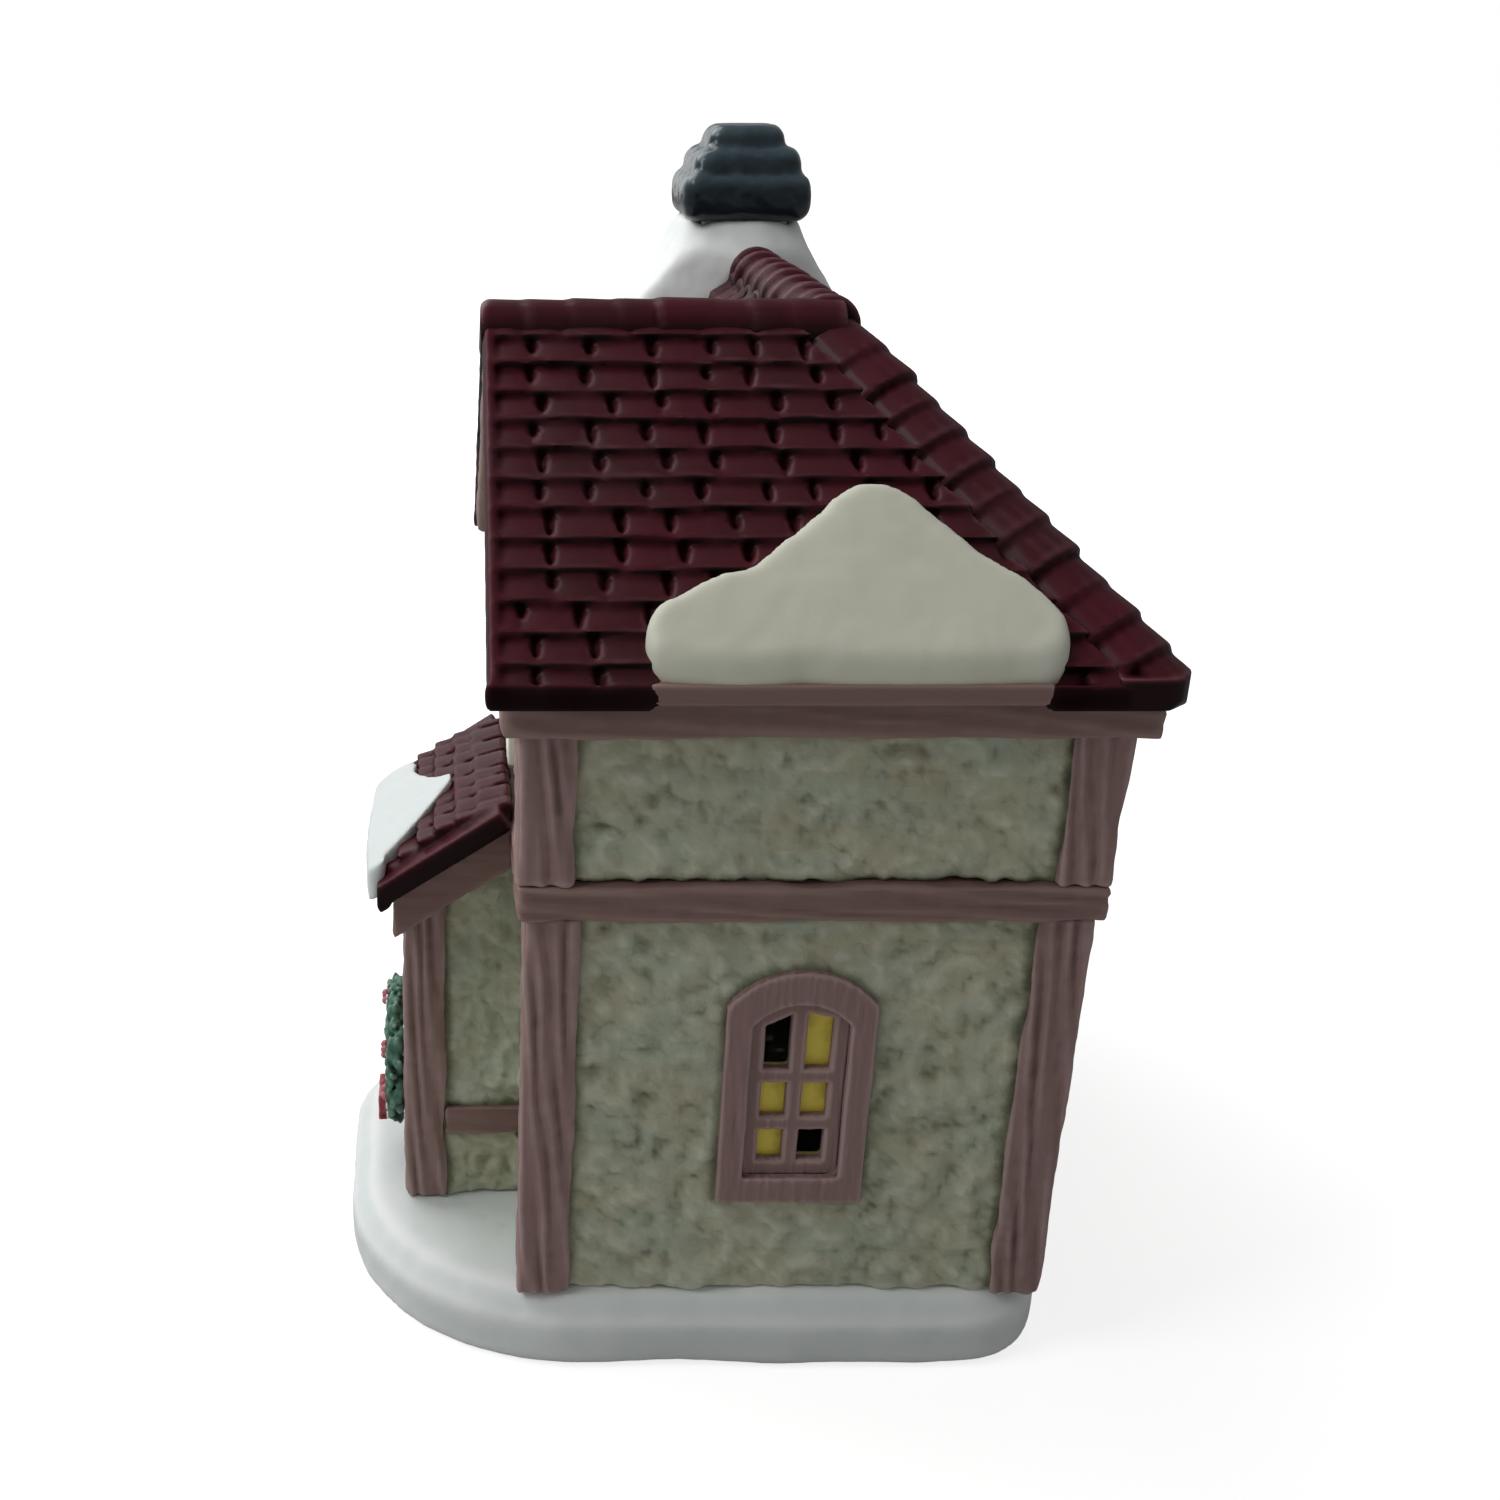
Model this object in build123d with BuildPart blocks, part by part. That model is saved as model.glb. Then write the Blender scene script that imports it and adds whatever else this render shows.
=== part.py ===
"""Ceramic Christmas village house with a snap-in lamp, as separate pieces.

Millimetres. The origin is the middle of the footprint on the table, +Z is up,
the house front faces -Y and the side with the arched window faces +X.
"""

import os

from build123d import *

# Plan of the house: outer faces of the ground-floor walls
wall_right = 70.6
wall_left = -70.0
wall_back = 53.2
wing_front = -30.1
wing_left = -13.0
main_front = -20.0
wall_thickness = 4.0

# Heights of the storeys
base_top = 12.7
belt_low = 82.0
belt_high = 88.0
cornice_low = 112.8
eave_level = 119.0

# How far each ring of the wall stands out from the ground-floor face
jetty = 1.3
belt_proud = 2.8
cornice_proud = 5.7
post_proud = 1.5
post_width = 8.5

# Snow base
base_right = 75.0
base_left = -77.0
base_back = 57.0
base_front = -60.9
base_main_front = -44.0
base_step_right = 6.0
base_step_left = -24.0
base_front_radius = 38.0
base_step_radius = 20.0
base_left_radius = 22.0
base_back_radius = 15.0
base_top_bevel = 4.0
base_foot_bevel = 1.5

# Roof planes: the deck under the tiles, and the layer of tiles on it
eave_right = 80.0
rake_left = -80.0
eave_back = 60.9
rake_front = -38.2
wing_ridge_x = 28.8
main_ridge_y = 16.5
ridge_rise = 45.9
deck_drop = 8.0
tile_layer = 3.3
tile_lip = 1.6
joint_depth = 2.5
course_count = 13
tile_width = 8.7
joint_width = 1.7
joint_tail = 0.6
cap_half_width = 3.6
cap_top = 0.1
cap_flat = 1.7
cap_shoulder = 2.1
cap_step = 0.9
cap_pitch = 7.4
cap_depth = 6.0

# Brown board that shows at the eave below the snow on the right-hand slope
eave_board_front = -15.3
eave_board_back = 41.0
eave_board_depth = 2.2

# Snow on the right-hand slope: its edge, seen from above, as (x, y) points on a chain of arcs
roof_snow_edge = [
    (60.0, 11.5), (56.6, 18.2), (59.6, 25.4), (62.5, 29.2), (66.0, 33.0), (68.6, 38.0),
    (72.0, 42.2), (75.4, 43.2), (78.2, 38.0), (78.9, 24.0), (78.2, 6.0), (78.9, -6.0),
    (77.6, -14.2), (74.2, -15.0), (71.2, -11.2), (68.6, -5.0), (67.4, 0.0), (63.2, 6.2),
]
roof_snow_depth = 2.4

# Chimney, and the snow drifted round its foot
chimney_x = -60.0
chimney_y = 15.2
stack_width = 17.0
chimney_cap_low = 172.5
chimney_tiers = [(24.6, 7.5), (20.4, 4.5), (14.4, 5.5)]
tier_corner = 2.6
tier_bevel = 1.8
drift_near = -43.0
drift_shoulder = -47.0
drift_flank = -55.0
drift_far_flank = -66.0
drift_far_shoulder = -75.0
drift_shoulder_half = 9.0
drift_far_half = 5.0
drift_half = 24.0
drift_ridge_top = 169.6
drift_profile = [(10.8, 172.5), (12.0, 168.0), (14.3, 164.0), (19.0, 158.0), (24.0, 150.0)]

# Arched window, used on the right-hand wall and on the front of the main block
window_width = 23.4
window_height = 41.9
window_low = 31.0
arch_rise = 6.0
window_border = 4.05
window_sill = 4.6
window_head = 5.6
opening_rise = 3.9
window_proud = 1.8
sash_setback = 1.0
sash_thickness = 1.6
pane_thickness = 1.4
pane_width = 4.6
muntin = 1.9
sash_rail = 2.2
pane_rows = [6.2, 6.8, 8.2]
side_window_y = 11.7
main_window_x = -41.0

# Upper window on the gable front
upper_window_width = 17.0
upper_window_low = 93.0
upper_window_height = 14.0
upper_frame = 2.4
upper_pane_gap = 1.5
garland_width = 22.0
garland_low = 107.2
garland_thickness = 3.2
brace_width = 5.0
brace_proud = 1.1
brace_reach = 14.0
brace_inset = 3.0

# Porch in front of the gable
porch_half = 14.9
porch_front = -49.4
porch_wall = 3.5
porch_roof_half = 23.2
porch_eave = -54.8
porch_eave_top = 77.7
porch_rise = 14.7
porch_tile_layer = 4.6
porch_deck = 8.0
porch_trim = 2.4
porch_courses = 7
porch_tile_width = 5.4
porch_post_width = 7.0
porch_post_proud = 1.2
rail_low = 26.0
rail_height = 5.2
rail_proud = 1.1
door_half = 8.6
door_top = 56.0
door_thickness = 1.8
door_setback = 0.8
wreath_height = 34.0
wreath_radius = 13.0
wreath_width = 5.0
wreath_thickness = 3.2
wreath_bevel = 1.2
wreath_sides = 16
bow_width = 8.0
bow_height = 5.4
bow_knot = 1.8
bow_depth = 2.0

# Snow on the porch roof: its edge, seen from above, as (x, y) points on a chain of arcs
porch_snow_edge = [
    (47.6, -53.6), (41.0, -48.0), (34.0, -43.4), (30.6, -42.4), (27.0, -44.6), (22.4, -47.4),
    (17.0, -49.0), (11.4, -52.6), (14.0, -56.2), (32.0, -57.0), (48.6, -56.4), (50.2, -55.0),
]
porch_snow_depth = 1.8

# Snap-in lamp in the light hole of the back wall
lamp_x = 28.8
lamp_z = 36.0
light_hole_radius = 15.5
flange_radius = 18.4
flange_thickness = 2.2
socket_radius = 9.5
socket_inside = 21.0
boss_radius = 6.5
boss_length = 4.2
cord_inlet_radius = 2.6
cord_inlet_depth = 5.0
shell_thickness = 0.7
bulb_cap_radius = 6.0
thread_clearance = 0.08
bulb_cap_length = 14.0
bulb_cap_rim = 1.0
bulb_profile = [(9.6, 11.0), (9.6, 18.0), (5.6, 28.5), (0.8, 36.0)]
bulb_sides = 16
clip_thickness = 0.7
clip_width = 6.0
clip_reach = 14.2
clip_length = 14.0
clip_ring = 1.6
clip_sides = 8

wing_half = eave_right - wing_ridge_x
main_half = eave_back - main_ridge_y
eave_wing_left = wing_ridge_x - wing_half
eave_main_front = main_ridge_y - main_half
ridge_level = eave_level + ridge_rise
everywhere = 400.0
overcut = 1.0


def save(piece, name):
    """Label a finished piece and write its file."""
    piece.part.label = name
    export_step(piece.part, f"parts/{name}.step")


def house_outline(grow):
    """Corners of the L-shaped plan, moved outward by grow."""
    return [
        (wing_left - grow, wing_front - grow),
        (wall_right + grow, wing_front - grow),
        (wall_right + grow, wall_back + grow),
        (wall_left - grow, wall_back + grow),
        (wall_left - grow, main_front - grow),
        (wing_left - grow, main_front - grow),
    ]


def wall_ring(low, high, grow):
    """Ring of wall between two heights, with the house's hollow inside it."""
    with BuildPart() as ring:
        with BuildSketch(Plane.XY.offset(low)):
            Polygon(*house_outline(grow), align=None)
            Polygon(*house_outline(-wall_thickness), align=None, mode=Mode.SUBTRACT)
        extrude(amount=high - low)
    return ring


def roof_block(drop, overrun):
    """Solid under the roof planes, lowered by drop and run past the gables by overrun."""
    shrink = 1 - drop / ridge_rise
    top = ridge_level - drop
    wing_reach = wing_half * shrink
    main_reach = main_half * shrink
    front = Plane.XZ.offset(-rake_front + overrun)
    left = Plane.YZ.offset(rake_left - overrun)
    depth = eave_back - rake_front + overrun
    width = eave_right - rake_left + overrun
    climb = ridge_rise / wing_half
    steep = ridge_rise / main_half
    with BuildPart() as wing:
        with BuildSketch(front):
            Polygon(
                (wing_ridge_x - wing_reach, eave_level),
                (wing_ridge_x + wing_reach, eave_level),
                (wing_ridge_x, top),
                align=None,
            )
        extrude(amount=-depth)
        with BuildSketch(left):
            Polygon(
                (main_ridge_y + main_reach, eave_level),
                (main_ridge_y + main_reach - everywhere, eave_level),
                (main_ridge_y + main_reach - everywhere, eave_level + everywhere * steep),
                align=None,
            )
        extrude(amount=width, mode=Mode.INTERSECT)
    with BuildPart() as whole:
        with BuildSketch(left):
            Polygon(
                (main_ridge_y - main_reach, eave_level),
                (main_ridge_y + main_reach, eave_level),
                (main_ridge_y, top),
                align=None,
            )
        extrude(amount=width)
        with BuildSketch(front):
            Polygon(
                (wing_ridge_x + wing_reach, eave_level),
                (wing_ridge_x + wing_reach - everywhere, eave_level + everywhere * climb),
                (wing_ridge_x + wing_reach - everywhere, eave_level),
                align=None,
            )
        extrude(amount=-depth, mode=Mode.INTERSECT)
        add(wing.part)
    return whole.part


def tile_slope(origin, inward, length, run, rise, layer, courses, width, outline, holes):
    """Layer of overlapping tiles on one slope.

    The slope starts at its eave, from origin along the eave for length, and climbs by
    rise over run in the direction inward. Each course is thick at its lower edge and
    thin under the course above, and V-shaped joints part its tiles. The layer is cut to
    the outline seen from above, and has the holes cut out of it.
    """
    along = inward.cross(Vector(0, 0, 1))
    level = Plane(origin=origin, x_dir=along, z_dir=(0, 0, 1))
    end = Plane(origin=origin, x_dir=inward, z_dir=along)
    pitch = run / courses
    step = rise / courses
    head = layer - tile_lip
    bed = layer - joint_depth
    teeth = [(0, 0)]
    for course in range(courses):
        teeth.append((course * pitch, course * step + layer))
        teeth.append(((course + 1) * pitch, (course + 1) * step + head))
    teeth.append((run, rise))
    with BuildPart() as tiles:
        with BuildSketch(end):
            Polygon(*teeth, align=None)
        extrude(amount=length)
        with BuildSketch(level):
            for course in range(courses):
                tail = course * pitch + joint_tail
                upper = (course + 1) * pitch
                shift = width / 2 if course % 2 else width
                for column in range(int((length - shift) / width) + 1):
                    middle = shift + column * width
                    Polygon(
                        (middle, tail),
                        (middle + joint_width / 2, upper),
                        (middle - joint_width / 2, upper),
                        align=None,
                    )
        extrude(amount=rise + layer, mode=Mode.SUBTRACT)
        with BuildSketch(end):
            Polygon((0, 0), (run, rise), (run, rise + bed), (0, bed), align=None)
        extrude(amount=length)
        with BuildSketch(Plane.XY):
            Polygon(*outline, align=None)
            for hole in holes:
                add(hole, mode=Mode.SUBTRACT)
        extrude(amount=everywhere, mode=Mode.INTERSECT)
    return tiles


def plan_face(points):
    """Face on the ground plane, from its corner points."""
    with BuildSketch() as face:
        Polygon(*points, align=None)
    return face.sketch


def drift_face(points):
    """Face on the ground plane with an edge of arcs, each through three points in turn."""
    ring = points + points[:1]
    with BuildSketch() as face:
        with BuildLine():
            for first, middle, last in zip(ring[0::2], ring[1::2], ring[2::2]):
                ThreePointArc(first, middle, last)
        make_face()
    return face.sketch


def cap_row(start, end, strip, holes, ground):
    """Row of overlapping caps along a ridge or hip, each thicker at its lower edge."""
    foot = Vector(*start)
    path = Vector(*end) - foot
    length = path.length
    count = round(length / cap_pitch)
    pitch = length / count
    side = Vector(0, 0, 1).cross(path).normalized()
    teeth = [(0, -cap_depth)]
    for cap in range(count):
        teeth.append((cap * pitch, cap_top))
        teeth.append(((cap + 1) * pitch, cap_top - cap_step))
    teeth.append((length, -cap_depth))
    with BuildPart() as row:
        with BuildSketch(Plane(origin=foot, x_dir=path, z_dir=-side)):
            Polygon(*teeth, align=None)
        extrude(amount=cap_half_width, both=True)
        with BuildSketch(Plane(origin=foot, x_dir=side, z_dir=path)):
            Polygon(
                (-cap_half_width, -cap_depth),
                (cap_half_width, -cap_depth),
                (cap_half_width, cap_top - cap_shoulder),
                (cap_flat, cap_top),
                (-cap_flat, cap_top),
                (-cap_half_width, cap_top - cap_shoulder),
                align=None,
            )
        extrude(amount=length, mode=Mode.INTERSECT)
        with BuildSketch(Plane.XY.offset(eave_level)):
            Polygon(*strip, align=None)
            for hole in holes:
                add(hole, mode=Mode.SUBTRACT)
        extrude(amount=everywhere, mode=Mode.INTERSECT)
        add(ground, mode=Mode.SUBTRACT)
    return row


def corner_post(corner, outward, low, high, grow):
    """L-shaped timber round one outer corner of the house."""
    out_x, out_y = outward
    face_x = corner[0] + out_x * (grow + post_proud)
    face_y = corner[1] + out_y * (grow + post_proud)
    with BuildPart() as post:
        with BuildSketch(Plane.XY.offset(low)):
            Polygon(
                (face_x, face_y),
                (face_x - out_x * post_width, face_y),
                (face_x - out_x * post_width, face_y - out_y * post_width),
                (face_x, face_y - out_y * post_width),
                align=None,
            )
            Polygon(*house_outline(grow), align=None, mode=Mode.SUBTRACT)
        extrude(amount=high - low)
    return post


def arched_outline(width, low, high, rise):
    """Sketch outline of an opening with a shallow arch on top, round x = 0."""
    half = width / 2
    with BuildSketch() as opening:
        with BuildLine():
            Polyline((half, high - rise), (half, low), (-half, low), (-half, high - rise))
            ThreePointArc((-half, high - rise), (0, high), (half, high - rise))
        make_face()
    return opening.sketch


def pane_cells(low):
    """Lower left corner, width and height of each pane, row by row from the sill."""
    cells = []
    level = low
    for height in pane_rows:
        for column in (-1, 1):
            cells.append((column * (pane_width + muntin) / 2, level + height / 2, height))
        level += height + muntin
    return cells


os.makedirs("parts", exist_ok=True)

# Snow base: a slab with a broad round front and pillowed edges
base_corners = [
    (base_right, base_front, base_front_radius),
    (base_step_right, base_front, base_step_radius),
    (base_step_left, base_main_front, base_step_radius),
    (base_left, base_main_front, base_left_radius),
    (base_left, base_back, base_back_radius),
    (base_right, base_back, base_back_radius),
]
with BuildPart() as ground_base:
    with BuildSketch() as base_plan:
        Polygon(*[(x, y) for x, y, radius in base_corners], align=None)
        for x, y, radius in base_corners:
            fillet(base_plan.vertices().sort_by_distance((x, y, 0))[0], radius)
    extrude(amount=base_top)
    chamfer(ground_base.faces().sort_by(Axis.Z)[-1].edges(), base_top_bevel)
    chamfer(ground_base.faces().sort_by(Axis.Z)[0].edges(), base_foot_bevel)
save(ground_base, "ground_base")

# Walls: four rings, one on the other, with the same hollow inside
side_face = Plane(origin=(wall_right, side_window_y, 0), x_dir=(0, 1, 0), z_dir=(1, 0, 0))
main_face = Plane(origin=(main_window_x, main_front, 0), x_dir=(1, 0, 0), z_dir=(0, -1, 0))
gable_face = Plane(origin=(wing_ridge_x, wing_front - jetty, 0), x_dir=(1, 0, 0), z_dir=(0, -1, 0))
lamp_axis = Axis((lamp_x, wall_back, lamp_z), (0, 1, 0))
lamp_face = Plane(origin=(lamp_x, wall_back, lamp_z), x_dir=(1, 0, 0), z_dir=(0, 1, 0))
lamp_section = Plane(origin=(lamp_x, wall_back, lamp_z), x_dir=(1, 0, 0), z_dir=(0, 0, 1))
arch_opening = arched_outline(
    window_width - 2 * window_border,
    window_low + window_sill,
    window_low + window_height - window_head,
    opening_rise,
)

with BuildPart() as lower_walls:
    add(wall_ring(base_top, belt_low, 0).part)
    for face in (side_face, main_face):
        with BuildSketch(face):
            add(arch_opening)
        extrude(amount=-wall_thickness, mode=Mode.SUBTRACT)
    with BuildSketch(lamp_face):
        Circle(light_hole_radius)
    extrude(amount=-wall_thickness, mode=Mode.SUBTRACT)
save(lower_walls, "lower_walls")

belt_beam = wall_ring(belt_low, belt_high, belt_proud)
save(belt_beam, "belt_beam")

with BuildPart() as upper_walls:
    add(wall_ring(belt_high, cornice_low, jetty).part)
    with BuildSketch(gable_face):
        with Locations((0, upper_window_low + upper_window_height / 2)):
            Rectangle(upper_window_width - 2 * upper_frame, upper_window_height - 2 * upper_frame)
    extrude(amount=-wall_thickness - jetty, mode=Mode.SUBTRACT)
save(upper_walls, "upper_walls")

cornice = wall_ring(cornice_low, eave_level, cornice_proud)
save(cornice, "cornice")

# Corner timbers of both storeys
house_corners = {
    "front_right": ((wall_right, wing_front), (1, -1)),
    "back_right": ((wall_right, wall_back), (1, 1)),
    "back_left": ((wall_left, wall_back), (-1, 1)),
    "front_left": ((wall_left, main_front), (-1, -1)),
    "wing_left": ((wing_left, wing_front), (-1, -1)),
}
for corner_name, (corner, outward) in house_corners.items():
    save(corner_post(corner, outward, base_top, belt_low, 0), f"lower_post_{corner_name}")
    save(corner_post(corner, outward, belt_high, cornice_low, jetty), f"upper_post_{corner_name}")

# Roof shell: a folded plate under all the tiles, with the gable walls below it
deck = roof_block(0, 0)
with BuildPart() as roof_shell:
    add(deck)
    add(roof_block(deck_drop, overcut), mode=Mode.SUBTRACT)
save(roof_shell, "roof_shell")

gable_shrink = 1 - deck_drop / ridge_rise
gable_top = ridge_level - deck_drop
with BuildPart() as gable_wall_front:
    with BuildSketch(Plane.XZ.offset(-wing_front + jetty)):
        Polygon(
            (wing_ridge_x - wing_half * gable_shrink, eave_level),
            (wing_ridge_x + wing_half * gable_shrink, eave_level),
            (wing_ridge_x, gable_top),
            align=None,
        )
    extrude(amount=-wall_thickness)
save(gable_wall_front, "gable_wall_front")

with BuildPart() as gable_wall_left:
    with BuildSketch(Plane.YZ.offset(wall_left - jetty)):
        Polygon(
            (main_ridge_y - main_half * gable_shrink, eave_level),
            (main_ridge_y + main_half * gable_shrink, eave_level),
            (main_ridge_y, gable_top),
            align=None,
        )
    extrude(amount=wall_thickness)
save(gable_wall_left, "gable_wall_left")

# Strips of the roof that the ridge and hip caps cover, seen from above
apex = (wing_ridge_x, main_ridge_y)
hip = (Vector(eave_right, eave_back) - Vector(*apex)).normalized()
hip_side = Vector(-hip.Y, hip.X) * cap_half_width
hip_upper = Vector(*apex) + hip_side
hip_lower = Vector(*apex) - hip_side
wing_strip = [
    (wing_ridge_x - cap_half_width, rake_front),
    (wing_ridge_x + cap_half_width, rake_front),
    (wing_ridge_x + cap_half_width, main_ridge_y),
    (wing_ridge_x - cap_half_width, main_ridge_y),
]
main_strip = [
    (rake_left, main_ridge_y - cap_half_width),
    (wing_ridge_x, main_ridge_y - cap_half_width),
    (wing_ridge_x, main_ridge_y + cap_half_width),
    (rake_left, main_ridge_y + cap_half_width),
]
hip_upper_end = hip_upper + hip * ((eave_back - hip_upper.Y) / hip.Y)
hip_lower_end = hip_lower + hip * ((eave_right - hip_lower.X) / hip.X)
hip_strip = [
    (hip_lower.X, hip_lower.Y),
    (hip_lower_end.X, hip_lower_end.Y),
    (eave_right, eave_back),
    (hip_upper_end.X, hip_upper_end.Y),
    (hip_upper.X, hip_upper.Y),
]

# Patches of snow and the chimney's foot, which break the tiles
drift_back = [
    (drift_near, chimney_y),
    (drift_shoulder, chimney_y + drift_shoulder_half),
    (drift_flank, chimney_y + drift_half),
    (drift_far_flank, chimney_y + drift_half),
    (drift_far_shoulder, chimney_y + 2 * drift_shoulder_half),
    (rake_left, chimney_y + drift_far_half),
]
drift_front = [(x, 2 * chimney_y - y) for x, y in reversed(drift_back[1:])]
drift_plan = plan_face(drift_back + drift_front)
roof_snow_plan = drift_face(roof_snow_edge)
with BuildSketch() as eave_board_plan:
    Polygon(
        (eave_right - eave_board_depth, eave_board_front),
        (eave_right, eave_board_front),
        (eave_right, eave_board_back),
        (eave_right - eave_board_depth, eave_board_back),
        align=None,
    )
    add(roof_snow_plan, mode=Mode.SUBTRACT)
cap_strips = [plan_face(strip) for strip in (wing_strip, main_strip, hip_strip)]

# Tiles on the four slopes
tiles_right = tile_slope(
    (eave_right, rake_front, eave_level), Vector(-1, 0, 0), eave_back - rake_front,
    wing_half, ridge_rise, tile_layer, course_count, tile_width,
    [(eave_right, rake_front), (eave_right, eave_back), apex, (wing_ridge_x, rake_front)],
    cap_strips + [roof_snow_plan, eave_board_plan.sketch],
)
save(tiles_right, "tiles_right")

tiles_back = tile_slope(
    (eave_right, eave_back, eave_level), Vector(0, -1, 0), eave_right - rake_left,
    main_half, ridge_rise, tile_layer, course_count, tile_width,
    [(eave_right, eave_back), (rake_left, eave_back), (rake_left, main_ridge_y), apex],
    cap_strips + [drift_plan],
)
save(tiles_back, "tiles_back")

tiles_main_front = tile_slope(
    (rake_left, eave_main_front, eave_level), Vector(0, 1, 0), wing_ridge_x - rake_left,
    main_half, ridge_rise, tile_layer, course_count, tile_width,
    [(rake_left, eave_main_front), (eave_wing_left, eave_main_front), apex, (rake_left, main_ridge_y)],
    cap_strips + [drift_plan],
)
save(tiles_main_front, "tiles_main_front")

tiles_wing_left = tile_slope(
    (eave_wing_left, main_ridge_y, eave_level), Vector(1, 0, 0), main_ridge_y - rake_front,
    wing_half, ridge_rise, tile_layer, course_count, tile_width,
    [(eave_wing_left, eave_main_front), (eave_wing_left, rake_front), (wing_ridge_x, rake_front), apex],
    cap_strips,
)
save(tiles_wing_left, "tiles_wing_left")

# Caps on the two ridges and on the hip
tile_ridge = ridge_level + tile_layer
tile_eave = eave_level + tile_layer
ridge_caps_wing = cap_row(
    (wing_ridge_x, rake_front, tile_ridge), (wing_ridge_x, main_ridge_y, tile_ridge),
    wing_strip, [], deck,
)
save(ridge_caps_wing, "ridge_caps_wing")

ridge_caps_main = cap_row(
    (rake_left, main_ridge_y, tile_ridge), (wing_ridge_x, main_ridge_y, tile_ridge),
    main_strip, [cap_strips[0], drift_plan], deck,
)
save(ridge_caps_main, "ridge_caps_main")

hip_caps = cap_row(
    (eave_right, eave_back, tile_eave), (wing_ridge_x, main_ridge_y, tile_ridge),
    hip_strip, cap_strips[:2], deck,
)
save(hip_caps, "hip_caps")

# Board at the eave, and the snow above it
with BuildPart() as eave_board_right:
    with BuildSketch(Plane.XY.offset(eave_level)):
        add(eave_board_plan.sketch)
    extrude(amount=tile_layer)
    add(deck, mode=Mode.SUBTRACT)
save(eave_board_right, "eave_board_right")

with BuildPart() as roof_snow:
    with BuildSketch(Plane.XY.offset(eave_level)):
        add(roof_snow_plan)
    extrude(amount=ridge_rise)
    add(roof_block(-tile_layer - roof_snow_depth, 0), mode=Mode.INTERSECT)
    add(deck, mode=Mode.SUBTRACT)
save(roof_snow, "roof_snow")

# Chimney: stack on the roof deck, stepped cap, and the snow drifted round the stack
with BuildPart() as chimney_stack:
    with BuildSketch(Plane.XY.offset(eave_level)):
        with Locations((chimney_x, chimney_y)):
            Rectangle(stack_width, stack_width)
    extrude(amount=chimney_cap_low - eave_level)
    add(deck, mode=Mode.SUBTRACT)
save(chimney_stack, "chimney_stack")

with BuildPart() as chimney_cap:
    tier_low = chimney_cap_low
    for tier_width, tier_height in chimney_tiers:
        with BuildSketch(Plane.XY.offset(tier_low)):
            with Locations((chimney_x, chimney_y)):
                tier = Rectangle(tier_width, tier_width)
            chamfer(tier.vertices(), tier_corner)
        extrude(amount=tier_height)
        tier_low += tier_height
        chamfer(chimney_cap.faces().sort_by(Axis.Z)[-1].edges(), tier_bevel)
save(chimney_cap, "chimney_cap")

with BuildPart() as chimney_snow:
    with BuildSketch(Plane.XY.offset(eave_level)):
        add(drift_plan)
    extrude(amount=chimney_cap_low - eave_level)
    with BuildSketch(Plane.YZ.offset(rake_left)):
        front_side = [(chimney_y - half, level) for half, level in reversed(drift_profile)]
        back_side = [(chimney_y + half, level) for half, level in drift_profile]
        foot = [(chimney_y + drift_half, eave_level), (chimney_y - drift_half, eave_level)]
        Polygon(*front_side, *back_side, *foot, align=None)
    extrude(amount=drift_near - rake_left, mode=Mode.INTERSECT)
    with BuildSketch(Plane.XZ.offset(drift_half - chimney_y)):
        Polygon(
            (rake_left, eave_level),
            (drift_near, eave_level),
            (drift_near, drift_ridge_top),
            (chimney_x + drift_profile[0][0], chimney_cap_low),
            (chimney_x - drift_profile[0][0], chimney_cap_low),
            (rake_left, drift_ridge_top),
            align=None,
        )
    extrude(amount=-2 * drift_half, mode=Mode.INTERSECT)
    add(deck, mode=Mode.SUBTRACT)
    add(chimney_stack.part, mode=Mode.SUBTRACT)
save(chimney_snow, "chimney_snow")


def arched_window(place, wall_face):
    """Frame, sash and painted panes of one arched window, set in a wall's outer face."""
    pane_low = window_low + window_sill + sash_rail
    cells = pane_cells(pane_low)
    pierced = (cells[1], cells[4])
    with BuildPart() as frame:
        with BuildSketch(wall_face):
            add(arched_outline(window_width, window_low, window_low + window_height, arch_rise))
            add(arch_opening, mode=Mode.SUBTRACT)
        extrude(amount=window_proud)
    save(frame, f"{place}_window_frame")
    with BuildPart() as sash:
        with BuildSketch(wall_face.offset(-sash_setback)):
            add(arch_opening)
            for across, level, height in cells:
                with Locations((across, level)):
                    Rectangle(pane_width, height, mode=Mode.SUBTRACT)
        extrude(amount=-sash_thickness)
    save(sash, f"{place}_window_sash")
    with BuildPart() as panes:
        with BuildSketch(wall_face.offset(-sash_setback - sash_thickness)):
            add(arch_opening)
            for across, level, height in pierced:
                with Locations((across, level)):
                    Rectangle(pane_width, height, mode=Mode.SUBTRACT)
        extrude(amount=-pane_thickness)
    save(panes, f"{place}_window_panes")


arched_window("side", side_face)
arched_window("front", main_face)

# Upper window on the gable front, with its garland and the braces beside it
upper_middle = upper_window_low + upper_window_height / 2
upper_inner_width = upper_window_width - 2 * upper_frame
upper_inner_height = upper_window_height - 2 * upper_frame
with BuildPart() as upper_window_frame:
    with BuildSketch(gable_face):
        with Locations((0, upper_middle)):
            Rectangle(upper_window_width, upper_window_height)
            Rectangle(upper_inner_width, upper_inner_height, mode=Mode.SUBTRACT)
    extrude(amount=window_proud)
save(upper_window_frame, "upper_window_frame")

with BuildPart() as upper_window_sash:
    with BuildSketch(gable_face.offset(-sash_setback)):
        with Locations((0, upper_middle)):
            Rectangle(upper_inner_width, upper_inner_height)
            light_width = (upper_inner_width - 3 * upper_pane_gap) / 2
            light_height = (upper_inner_height - 3 * upper_pane_gap) / 2
            with GridLocations(light_width + upper_pane_gap, light_height + upper_pane_gap, 2, 2):
                Rectangle(light_width, light_height, mode=Mode.SUBTRACT)
    extrude(amount=-sash_thickness)
save(upper_window_sash, "upper_window_sash")

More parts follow.
